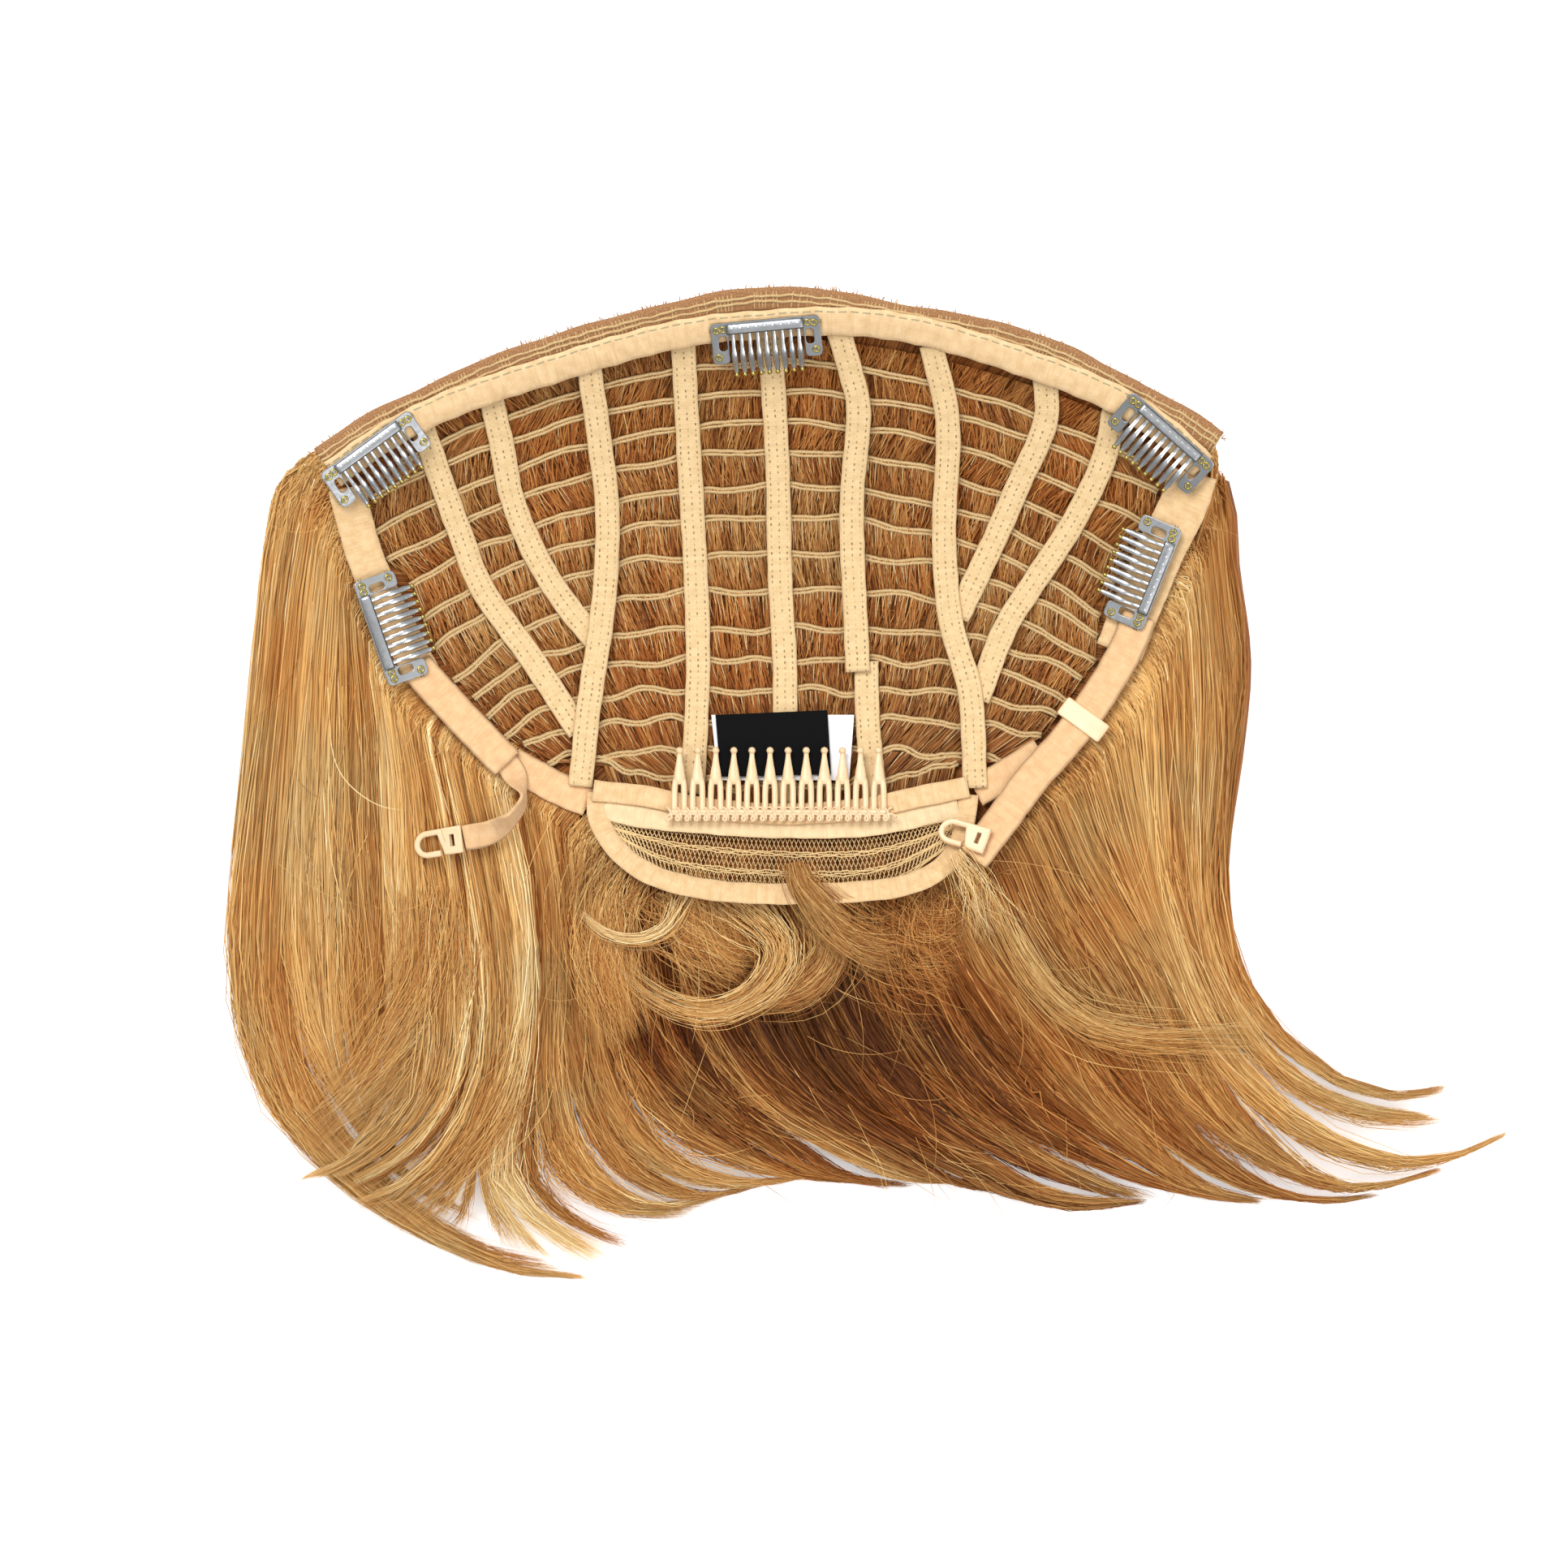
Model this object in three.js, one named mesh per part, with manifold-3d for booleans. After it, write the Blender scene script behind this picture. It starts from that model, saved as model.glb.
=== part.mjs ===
// A demi-cap clip-in hairpiece lying hair-down, with the inside of its cap facing up.
// Millimetres, +Z up. The origin is on the surface below the crown of the cap, and +Y is its front.
import * as THREE from "three";
import { mergeVertices } from "three/addons/utils/BufferGeometryUtils.js";
import Module from "manifold-3d";

const wasm = await Module();
wasm.setup();

// The cap: half its width at the ears, and its length from the front rim to the nape
const CAP_HALF_WIDTH = 132.5;
const CAP_LENGTH = 173;
// The bowl of the cap: how high its deepest place lies, and how far the rim rises above it
const CROWN_HEIGHT = 13;
const BOWL_DEPTH = 22;
// The free hair, measured from an ear to the tips, and the size of one lock
const HAIR_LENGTH = 238;
const LOCK_HALF_WIDTH = 13;
const TIP_HEIGHT = 2.5;
const BACKING_HALF_WIDTH = 8;
// The hair beside the cap rises to a level this far below the bowl's edge
const FALL_DROP = 2;
const FALL_TOP = CROWN_HEIGHT + BOWL_DEPTH - FALL_DROP;

// Cloth: one thickness for every tape and ribbon, and the clearance between two layers
const CLOTH = 1;
const GAP = 0.3;
// Clearances of the lowest cloth above the bowl, of the hair below the cords, and of the free hair round it
const BOWL_CLEARANCE = 0.2;
const HAIR_CLEARANCE = 0.75;
const SIDE_CLEARANCE = 0.6;
// Length of one flat stretch of a strip
const STRIP_STEP = 11;
const WEFT_WIDTH = 2;
const WEFT_THICKNESS = 1.6;
const RIBBON_WIDTH = 7.2;
const FRONT_TAPE_WIDTH = 8.6;
const RIM_WIDTH = 7.4;
const RIM_THICKNESS = 3.2;
const SIDE_TAPE_LEFT_WIDTH = 10.6;
const SIDE_TAPE_RIGHT_WIDTH = 14;
const ELASTIC_WIDTH = 10;
const LINK_WIDTH = 9.5;
const NAPE_UPPER_WIDTH = 6.2;
const NAPE_LOWER_WIDTH = 5.2;
const NAPE_RIM_WIDTH = 6.2;
const ADJUSTER_WIDTH = 7.6;
const LABEL_THICKNESS = 0.6;

// Plastic comb
const COMB_TEETH = 12;
const COMB_PITCH = 5.3;
const COMB_TOOTH_LENGTH = 17.6;
const COMB_TOOTH_WIDTH = 4.4;
const COMB_NECK_WIDTH = 1.7;
const COMB_TIP_WIDTH = 2.2;
const COMB_SLOT_WIDTH = 1.1;
const COMB_SPINE_WIDTH = 3.9;
const COMB_THICKNESS = 1.4;
// Where the split of a tooth ends and where its neck starts, as shares of its length
const COMB_SPLIT_END = 0.52;
const COMB_NECK_START = 0.62;

// Steel snap clips
const CLIP_LENGTH = 32;
const CLIP_DEPTH = 12.8;
const CLIP_BACK_BAR = 3.4;
const CLIP_END_PAD = 5;
const CLIP_SHEET = 0.6;
const CLIP_CORNER = 1.6;
const CLIP_REACH = 17.2;
const CLIP_TEETH = 9;
const CLIP_TOOTH_PITCH = 2.4;
const CLIP_TOOTH_WIDTH = 1.5;
const CLIP_SLOT_WIDTH = 2.4;
const CLIP_SLOT_LENGTH = 4.7;
const CLIP_SLOT_EDGE = 0.5;
// Eyelets: their bore, and how far their centres lie in from a clip's end and from its long edges
const CLIP_EYELET = 1.2;
const CLIP_EYELET_FROM_END = 1.8;
const CLIP_EYELET_FROM_EDGE = 2.2;

// Plastic hooks and slider
const HOOK_WIDTH = 8;
const HOOK_LENGTH = 15;
const HOOK_WIRE = 1.7;
const SLIDER_LENGTH = 15.4;
const SLIDER_WIDTH = 6;
const SLIDER_WIRE = 1.2;
const SLIDER_TILT = 38;

// Layers above the bowl surface, from the hair up: each starts a gap above the one below it
const UNDER_LAYER = BOWL_CLEARANCE;
const MIDDLE_LAYER = UNDER_LAYER + CLOTH + GAP;
const TOP_LAYER = MIDDLE_LAYER + CLOTH + GAP;
const CLIP_LAYER = TOP_LAYER + CLOTH + GAP;
const WEFT_LAYER = UNDER_LAYER - GAP - WEFT_THICKNESS;
const PAD_LAYER = WEFT_LAYER - HAIR_CLEARANCE;

// Materials
const finish = (color, roughness, metalness = 0) =>
  new THREE.MeshStandardMaterial({ color, roughness, metalness });
const HAIR = finish(0xa9713f, 0.55);
const WEFT = finish(0xb79a6a, 0.85);
const RIBBON = finish(0xf0d9ac, 0.8);
const RIM = finish(0xa9805a, 0.9);
const STRAP = finish(0xf2d2a8, 0.75);
const NET = finish(0xc2a878, 0.9);
const PLASTIC = finish(0xf6dcb8, 0.4);
const STEEL = finish(0xa9adb3, 0.3, 0.9);
const LABEL_BLACK = finish(0x101010, 0.6);
const LABEL_WHITE = finish(0xf2f0ea, 0.7);

// Every place on the cap is a pair of shares: across its half width, and along its length
const BOWL_LOW = 0.087;
const BOWL_SPAN = 0.49;

function bowlHeight(x, y) {
  const across = x / CAP_HALF_WIDTH;
  const along = (y / CAP_LENGTH - BOWL_LOW) / BOWL_SPAN;
  return CROWN_HEIGHT + BOWL_DEPTH * (across ** 2 + along ** 2);
}

function bowlNormal(x, y) {
  const slopeX = (2 * BOWL_DEPTH * x) / CAP_HALF_WIDTH ** 2;
  const slopeY = (2 * BOWL_DEPTH * (y / CAP_LENGTH - BOWL_LOW)) / (BOWL_SPAN ** 2 * CAP_LENGTH);
  return new THREE.Vector3(-slopeX, -slopeY, 1).normalize();
}

function capPoint([across, along]) {
  return new THREE.Vector3(across * CAP_HALF_WIDTH, along * CAP_LENGTH, 0);
}

function capRoute(shares, closed = false) {
  return new THREE.CatmullRomCurve3(shares.map(capPoint), closed, "centripetal");
}

function leftOf(curve, t) {
  const ahead = curve.getTangentAt(t);
  return new THREE.Vector3(-ahead.y, ahead.x, 0).normalize();
}

// Builders: each starts from a closed geometry and moves its points
function mapped(geometry, move) {
  geometry.deleteAttribute("normal");
  geometry.deleteAttribute("uv");
  const closed = mergeVertices(geometry);
  const positions = closed.attributes.position;
  const point = new THREE.Vector3();
  for (let i = 0; i < positions.count; i += 1) {
    point.fromBufferAttribute(positions, i);
    positions.setXYZ(i, ...move(point).toArray());
  }
  closed.computeVertexNormals();
  return closed;
}

// A sheet laid on the bowl between two edge lines, each a function of the share along it
function laidSheet(rightEdge, leftEdge, { steps, rows = 1, layer, thickness = CLOTH }) {
  const block = new THREE.BoxGeometry(1, 1, 1, steps, rows, 1);
  return mapped(block, ({ x, y, z }) => {
    const spot = rightEdge(x + 0.5).lerp(leftEdge(x + 0.5), y + 0.5);
    spot.z = bowlHeight(spot.x, spot.y) + layer + (z + 0.5) * thickness;
    return spot;
  });
}

function laidStrip(shares, width, options) {
  const curve = capRoute(shares);
  const edge = (side) => (t) =>
    curve.getPointAt(t).addScaledVector(leftOf(curve, t), (side * width) / 2);
  const steps = options.steps ?? Math.ceil(curve.getLength() / STRIP_STEP);
  return laidSheet(edge(-1), edge(1), { ...options, steps });
}

// A flat shape given a thickness, drawn with its face up
function plate(shape, thickness, curveSegments = 3) {
  return new THREE.ExtrudeGeometry(shape, { depth: thickness, bevelEnabled: false, curveSegments });
}

function asManifold(geometry) {
  const closed = mapped(geometry, (point) => point);
  return new wasm.Manifold(new wasm.Mesh({
    numProp: 3,
    vertProperties: new Float32Array(closed.attributes.position.array),
    triVerts: new Uint32Array(closed.index.array),
  }));
}

function asGeometry(solid) {
  const mesh = solid.getMesh();
  const geometry = new THREE.BufferGeometry();
  geometry.setAttribute("position", new THREE.BufferAttribute(mesh.vertProperties, 3));
  geometry.setIndex(new THREE.BufferAttribute(mesh.triVerts, 1));
  geometry.computeVertexNormals();
  return geometry;
}

const hairpiece = new THREE.Group();

function add(name, geometry, material, parent = hairpiece) {
  const mesh = new THREE.Mesh(geometry, material);
  mesh.name = name;
  parent.add(mesh);
}

// Hair below the cap. The outline runs from the front centre round by the left ear.
const CAP_OUTLINE = [
  [0, 0.589], [-0.3, 0.554], [-0.605, 0.487], [-0.856, 0.396], [-0.985, 0.325], [-0.98, 0.262],
  [-0.925, 0.138], [-0.838, 0], [-0.713, -0.11], [-0.551, -0.227], [-0.415, -0.29], [-0.345, -0.36],
  [-0.174, -0.41], [0, -0.42], [0.185, -0.415], [0.346, -0.375], [0.49, -0.289], [0.67, -0.138],
  [0.795, -0.014], [0.885, 0.11], [0.95, 0.248], [0.955, 0.34], [0.831, 0.426], [0.598, 0.509],
  [0.311, 0.561],
];
const PAD_SIDES = 44;
// Rings of the bed of hair from the surface up its wall and in over the dish
const PAD_RINGS = [
  { reach: 0.93, wall: 0 },
  { reach: 0.985, wall: 0.35 },
  { reach: 1, wall: 0.75 },
  { reach: 1, wall: 1 },
  { reach: 0.87, wall: 1 },
  { reach: 0.74, wall: 1 },
  { reach: 0.6, wall: 1 },
  { reach: 0.45, wall: 1 },
  { reach: 0.28, wall: 1 },
];
const PAD_CENTRE = [0, 0.08];

function ringSolid(curve, centre, rings, heightAt) {
  const steps = rings.length - 1;
  const drum = new THREE.CylinderGeometry(1, 1, 1, PAD_SIDES, steps);
  return mapped(drum, ({ x, y, z }) => {
    const turn = Math.atan2(x, z) / (2 * Math.PI);
    const ring = rings[Math.round((y + 0.5) * steps)];
    const onRim = Math.hypot(x, z) > 0.5;
    const rim = curve.getPointAt((turn + 1) % 1);
    const spot = centre.clone().lerp(rim, onRim ? ring.reach : 0);
    spot.z = ring.wall * heightAt(spot.x, spot.y);
    return spot;
  });
}

const capEdge = capRoute(CAP_OUTLINE, true);
const padTop = (x, y) => bowlHeight(x, y) + PAD_LAYER;
add("hair_under_cap", ringSolid(capEdge, capPoint(PAD_CENTRE), PAD_RINGS, padTop), HAIR);

// Free hair. A lock is a route with its width and height along it, and it lies on the surface.
const LOCK_SIDES = 6;
// Shares of a lock's height at its two edges and at the middle of its ends, and of its width at its tip
const EDGE_SHARE = 0.6;
const END_SHARE = 0.5;
const TIP_SHARE = 0.06;
// How late a lock narrows, and how evenly it drops, on the way to its tip: powers of the share along it
const LOCK_TAPER = 3;
const LOCK_SLOPE = 1.1;

function lockSolid(curve, steps, halfWidthAt, heightAt) {
  const rod = new THREE.CylinderGeometry(1, 1, 1, LOCK_SIDES, steps);
  return mapped(rod, ({ x, y, z }) => {
    const t = y + 0.5;
    const spot = curve.getPointAt(t).addScaledVector(leftOf(curve, t), z * halfWidthAt(t));
    const isEndMiddle = x === 0 && z === 0;
    const isUnder = Math.round(x) < 0;
    const crown = isEndMiddle ? END_SHARE : EDGE_SHARE + (1 - EDGE_SHARE) * x;
    const height = Math.min(heightAt(t), padTop(spot.x, spot.y));
    spot.z = isUnder ? 0 : crown * height;
    return spot;
  });
}

// Each lock starts at the cap and runs on in steps measured from there, as shares of the hair's length
const LOCKS = [
  { root: [-0.955, 0.261], width: 0.8, run: [
    [-0.07, -0.15], [-0.09, -0.35], [-0.107, -0.54], [-0.1, -0.68], [-0.035, -0.8], [0.085, -0.89],
    [0.297, -0.97],
  ] },
  { root: [-0.901, 0.11], width: 0.9, run: [
    [-0.06, -0.16], [-0.08, -0.34], [-0.085, -0.5], [-0.06, -0.63], [0.015, -0.73], [0.205, -0.84],
  ] },
  { root: [-0.856, 0.014], width: 0.9, run: [
    [-0.04, -0.16], [-0.05, -0.36], [-0.03, -0.53], [0.02, -0.65], [0.075, -0.715],
  ] },
  { root: [-0.767, -0.069], width: 0.9, run: [
    [-0.035, -0.15], [-0.04, -0.33], [-0.045, -0.46], [-0.09, -0.55], [-0.165, -0.607],
  ] },
  { root: [-0.659, -0.138], width: 0.9, run: [
    [-0.03, -0.15], [-0.03, -0.32], [-0.05, -0.45], [-0.1, -0.53], [-0.152, -0.59],
  ] },
  { root: [-0.605, -0.179], width: 0.9, run: [
    [-0.02, -0.15], [-0.01, -0.31], [-0.03, -0.45], [-0.07, -0.53], [-0.12, -0.57],
  ] },
  { root: [-0.551, -0.22], width: 0.9, run: [
    [-0.02, -0.14], [-0.02, -0.29], [-0.05, -0.41], [-0.03, -0.51], [0.072, -0.605],
  ] },
  { root: [-0.399, -0.289], width: 1.1, run: [
    [-0.035, -0.11], [-0.035, -0.25], [0, -0.37], [0.085, -0.445], [0.175, -0.456],
  ] },
  { root: [-0.3, -0.371], width: 1.15, run: [[0, -0.11], [0.025, -0.22], [0.09, -0.315], [0.235, -0.377]] },
  { root: [-0.156, -0.4], width: 1.15, run: [[0, -0.1], [0.05, -0.21], [0.12, -0.3], [0.235, -0.367]] },
  { root: [0, -0.41], width: 1.15, run: [
    [0.018, -0.102], [0.078, -0.212], [0.163, -0.297], [0.275, -0.35],
  ] },
  { root: [0.167, -0.4], width: 1.15, run: [
    [0.02, -0.097], [0.09, -0.207], [0.19, -0.307], [0.29, -0.367], [0.375, -0.381],
  ] },
  { root: [0.311, -0.37], width: 1.15, run: [
    [0.03, -0.102], [0.1, -0.212], [0.19, -0.302], [0.31, -0.362], [0.43, -0.396],
  ] },
  { root: [0.454, -0.3], width: 1.15, run: [
    [0.05, -0.12], [0.13, -0.24], [0.22, -0.34], [0.35, -0.42], [0.49, -0.448],
  ] },
  { root: [0.616, -0.179], width: 1.15, run: [
    [0.04, -0.15], [0.1, -0.27], [0.18, -0.39], [0.3, -0.485], [0.492, -0.51],
  ] },
  { root: [0.759, -0.055], width: 1.1, run: [
    [0.035, -0.16], [0.06, -0.29], [0.12, -0.42], [0.22, -0.53], [0.36, -0.592], [0.488, -0.557],
  ] },
  { root: [0.849, 0.083], width: 1, run: [
    [0.04, -0.16], [0.04, -0.33], [0.08, -0.47], [0.17, -0.57], [0.329, -0.638],
  ] },
  { root: [0.93, 0.261], width: 0.8, run: [
    [0.02, -0.17], [0.02, -0.34], [0.01, -0.49], [0.05, -0.61], [0.14, -0.7], [0.309, -0.733],
  ] },
];
const LOCK_STEPS = 7;
// The band that the locks are fused to runs just outside the cap, from ear to ear by the nape
const BACKING_ROUTE = [
  [-1, 0.2], [-0.93, 0.05], [-0.82, -0.07], [-0.68, -0.19], [-0.5, -0.31], [-0.36, -0.42], [-0.17, -0.46],
  [0, -0.47], [0.18, -0.465], [0.36, -0.43], [0.55, -0.31], [0.72, -0.17], [0.86, -0.03], [0.95, 0.1],
  [0.99, 0.2],
];
const BACKING_STEPS = 16;

function lockCurve({ root, run }) {
  const start = capPoint(root);
  const points = run.map(([across, along]) =>
    new THREE.Vector3(start.x + across * HAIR_LENGTH, start.y + along * HAIR_LENGTH, 0));
  return new THREE.CatmullRomCurve3([start, ...points], false, "centripetal");
}

function lockShape(lock) {
  const halfWidth = (t) => lock.width * LOCK_HALF_WIDTH * Math.max(1 - t ** LOCK_TAPER, TIP_SHARE);
  const height = (t) => TIP_HEIGHT + (FALL_TOP - TIP_HEIGHT) * (1 - t) ** LOCK_SLOPE;
  return asManifold(lockSolid(lockCurve(lock), LOCK_STEPS, halfWidth, height));
}

function hairFall() {
  const backing = lockSolid(capRoute(BACKING_ROUTE), BACKING_STEPS, () => BACKING_HALF_WIDTH, () => FALL_TOP);
  const bundle = LOCKS.map(lockShape).reduce((sum, lock) => sum.add(lock), asManifold(backing));
  const clearEdge = new THREE.Shape();
  const outline = [];
  for (let i = 0; i < PAD_SIDES; i += 1) {
    const t = i / PAD_SIDES;
    const spot = capEdge.getPointAt(t).addScaledVector(leftOf(capEdge, t), -SIDE_CLEARANCE);
    outline.push(new THREE.Vector2(spot.x, spot.y));
  }
  clearEdge.setFromPoints(outline);
  // The room for the cap is cut from one height of the hair below it to one above
  const capRoom = plate(clearEdge, 3 * FALL_TOP).translate(0, 0, -FALL_TOP);
  return asGeometry(bundle.subtract(asManifold(capRoom)));
}
add("hair_fall", hairFall(), HAIR);

// Rows of doubled cord across the cap: both ends, the height at the centre, and how square each arch is
const WEFT_ROWS = [
  { left: [-0.83, 0.315], crown: 0.485, right: [0.8, 0.315], arch: 1.8 },
  { left: [-0.89, 0.255], crown: 0.435, right: [0.84, 0.262], arch: 1.9 },
  { left: [-0.89, 0.195], crown: 0.385, right: [0.83, 0.2], arch: 2 },
  { left: [-0.86, 0.145], crown: 0.335, right: [0.77, 0.155], arch: 2.1 },
  { left: [-0.81, 0.108], crown: 0.277, right: [0.745, 0.108], arch: 2.2 },
  { left: [-0.78, 0.05], crown: 0.225, right: [0.715, 0.06], arch: 2.4 },
  { left: [-0.755, 0], crown: 0.162, right: [0.71, 0.022], arch: 2.8 },
  { left: [-0.715, -0.052], crown: 0.1, right: [0.705, -0.025], arch: 3.2 },
  { left: [-0.67, -0.082], crown: 0.035, right: [0.675, -0.05], arch: 3.6 },
  { left: [-0.64, -0.11], crown: -0.018, right: [0.645, -0.088], arch: 4.4 },
  { left: [-0.6, -0.146], crown: -0.07, right: [0.62, -0.12], arch: 5 },
  { left: [-0.56, -0.167], crown: -0.12, right: [0.585, -0.152], arch: 5 },
  { left: [-0.505, -0.192], crown: -0.172, right: [0.5, -0.192], arch: 4 },
  { left: [-0.39, -0.195], crown: -0.232, right: [0.4, -0.193], arch: 2 },
];
const WEFT_POINTS = 9;
const WEFT_STEPS = 14;

function weftShares({ left, crown, right, arch }) {
  const shares = [];
  for (let i = 0; i < WEFT_POINTS; i += 1) {
    const across = THREE.MathUtils.lerp(left[0], right[0], i / (WEFT_POINTS - 1));
    const end = across < 0 ? left : right;
    const fall = Math.abs(across / end[0]) ** arch;
    shares.push([across, crown + (end[1] - crown) * fall]);
  }
  return shares;
}

WEFT_ROWS.forEach((row, index) => {
  const name = `weft_${String(index + 1).padStart(2, "0")}`;
  const options = { layer: WEFT_LAYER, thickness: WEFT_THICKNESS, steps: WEFT_STEPS };
  add(name, laidStrip(weftShares(row), WEFT_WIDTH, options), WEFT);
});

// Ribbons from the front tape to the nape; four of them end under a neighbour
const RIBBONS = [
  { name: "ribbon_1", layer: UNDER_LAYER, shares: [
    [-0.782, 0.376], [-0.745, 0.295], [-0.697, 0.19], [-0.655, 0.108], [-0.531, -0.029], [-0.437, -0.14],
  ] },
  { name: "ribbon_2", layer: UNDER_LAYER, shares: [
    [-0.631, 0.428], [-0.607, 0.345], [-0.585, 0.255], [-0.531, 0.155], [-0.47, 0.08], [-0.4, 0.014],
  ] },
  { name: "ribbon_3", layer: MIDDLE_LAYER, shares: [
    [-0.415, 0.484], [-0.387, 0.323], [-0.376, 0.25], [-0.383, 0.083], [-0.415, -0.09], [-0.433, -0.232],
  ] },
  { name: "ribbon_4", layer: UNDER_LAYER, shares: [
    [-0.208, 0.53], [-0.195, 0.34], [-0.178, 0.09], [-0.175, -0.04], [-0.186, -0.245],
  ] },
  { name: "ribbon_5", layer: UNDER_LAYER, shares: [
    [-0.016, 0.535], [0, 0.34], [0.008, 0.11], [0.018, -0.04], [0.016, -0.262],
  ] },
  { name: "ribbon_6", layer: MIDDLE_LAYER, shares: [
    [0.135, 0.54], [0.163, 0.467], [0.18, 0.41], [0.166, 0.246], [0.174, 0.06], [0.18, -0.038],
  ] },
  { name: "ribbon_6_lower", layer: UNDER_LAYER, shares: [
    [0.198, -0.02], [0.202, -0.131], [0.218, -0.255],
  ] },
  { name: "ribbon_7", layer: MIDDLE_LAYER, shares: [
    [0.34, 0.512], [0.377, 0.385], [0.37, 0.19], [0.386, 0.046], [0.427, -0.072], [0.438, -0.235],
  ] },
  { name: "ribbon_8", layer: UNDER_LAYER, shares: [
    [0.588, 0.468], [0.594, 0.39], [0.532, 0.274], [0.468, 0.163], [0.4, 0.055],
  ] },
  { name: "ribbon_9", layer: UNDER_LAYER, shares: [
    [0.745, 0.41], [0.72, 0.318], [0.655, 0.215], [0.562, 0.105], [0.508, 0.04], [0.445, -0.085],
  ] },
];
for (const { name, layer, shares } of RIBBONS) {
  add(name, laidStrip(shares, RIBBON_WIDTH, { layer }), RIBBON);
}

// Front band and the tapes round the cap
const FRONT_TAPE = [
  [-0.975, 0.292], [-0.889, 0.34], [-0.786, 0.387], [-0.671, 0.425], [-0.449, 0.481], [-0.21, 0.53],
  [0, 0.548], [0.12, 0.551], [0.257, 0.543], [0.402, 0.517], [0.619, 0.461], [0.749, 0.418], [0.853, 0.365],
  [0.935, 0.305],
];
const FRONT_RIM = [
  [-1, 0.318], [-0.896, 0.371], [-0.738, 0.43], [-0.594, 0.48], [-0.431, 0.521], [-0.224, 0.562],
  [-0.045, 0.586], [0.095, 0.584], [0.282, 0.558], [0.481, 0.528], [0.61, 0.496], [0.752, 0.441],
  [0.885, 0.388], [0.965, 0.345],
];
const SIDE_TAPE_LEFT = [[-0.945, 0.27], [-0.932, 0.225], [-0.9, 0.142], [-0.844, 0.048], [-0.78, -0.045]];
const SIDE_TAPE_RIGHT = [[0.915, 0.295], [0.894, 0.241], [0.856, 0.183], [0.804, 0.089], [0.755, -0.005]];
const NAPE_UPPER = [
  [-0.405, -0.239], [-0.282, -0.25], [-0.192, -0.265], [0.005, -0.279], [0.203, -0.268], [0.311, -0.25],
  [0.422, -0.233],
];
const NAPE_LOWER = [[-0.352, -0.284], [-0.228, -0.292], [0.005, -0.306], [0.197, -0.304], [0.375, -0.283]];
const NAPE_RIM = [
  [-0.397, -0.242], [-0.395, -0.282], [-0.368, -0.323], [-0.318, -0.362], [-0.237, -0.392], [-0.12, -0.409],
  [0.005, -0.413], [0.149, -0.411], [0.262, -0.402], [0.346, -0.378], [0.397, -0.337], [0.418, -0.275],
  [0.422, -0.246],
];
const RIM_LAYER = TOP_LAYER - GAP - RIM_THICKNESS;

add("front_weft_rim", laidStrip(FRONT_RIM, RIM_WIDTH, { layer: RIM_LAYER, thickness: RIM_THICKNESS }), RIM);
add("front_tape", laidStrip(FRONT_TAPE, FRONT_TAPE_WIDTH, { layer: TOP_LAYER }), RIBBON);
add("side_tape_left", laidStrip(SIDE_TAPE_LEFT, SIDE_TAPE_LEFT_WIDTH, { layer: MIDDLE_LAYER }), RIBBON);
add("side_tape_right", laidStrip(SIDE_TAPE_RIGHT, SIDE_TAPE_RIGHT_WIDTH, { layer: MIDDLE_LAYER }), RIBBON);
add("nape_upper_tape", laidStrip(NAPE_UPPER, NAPE_UPPER_WIDTH, { layer: TOP_LAYER }), RIBBON);
add("nape_lower_tape", laidStrip(NAPE_LOWER, NAPE_LOWER_WIDTH, { layer: MIDDLE_LAYER }), RIBBON);
add("nape_rim_tape", laidStrip(NAPE_RIM, NAPE_RIM_WIDTH, { layer: MIDDLE_LAYER }), RIBBON);

// The net fills the nape piece between its lower tape and the lowest stretch of its rim tape
const NET_TOP = [[-0.375, -0.29], [-0.228, -0.297], [0.005, -0.31], [0.197, -0.308], [0.4, -0.285]];
const NET_BOTTOM = [[-0.365, -0.318], [-0.24, -0.386], [0.005, -0.411], [0.24, -0.4], [0.395, -0.325]];
const netTop = capRoute(NET_TOP);
const netBottom = capRoute(NET_BOTTOM);
const netEdges = [(t) => netBottom.getPointAt(t), (t) => netTop.getPointAt(t)];
add("nape_net", laidSheet(...netEdges, { steps: 14, rows: 2, layer: UNDER_LAYER }), NET);

// Straps from the side tapes towards the nape
const ELASTIC_LEFT = [[-0.795, -0.03], [-0.713, -0.1], [-0.641, -0.158], [-0.595, -0.194]];
const ELASTIC_RIGHT = [
  [0.8, 0.055], [0.77, 0], [0.711, -0.078], [0.634, -0.158], [0.562, -0.22], [0.481, -0.303],
  [0.43, -0.352],
];
const LINK_LEFT = [[-0.585, -0.193], [-0.53, -0.216], [-0.479, -0.237], [-0.415, -0.257]];
const LINK_RIGHT = [[0.438, -0.241], [0.508, -0.213], [0.585, -0.175]];

add("elastic_left", laidStrip(ELASTIC_LEFT, ELASTIC_WIDTH, { layer: TOP_LAYER }), STRAP);
add("elastic_right", laidStrip(ELASTIC_RIGHT, ELASTIC_WIDTH, { layer: TOP_LAYER }), STRAP);
add("nape_link_left", laidStrip(LINK_LEFT, LINK_WIDTH, { layer: UNDER_LAYER }), STRAP);
add("nape_link_right", laidStrip(LINK_RIGHT, LINK_WIDTH, { layer: UNDER_LAYER }), STRAP);

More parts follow.
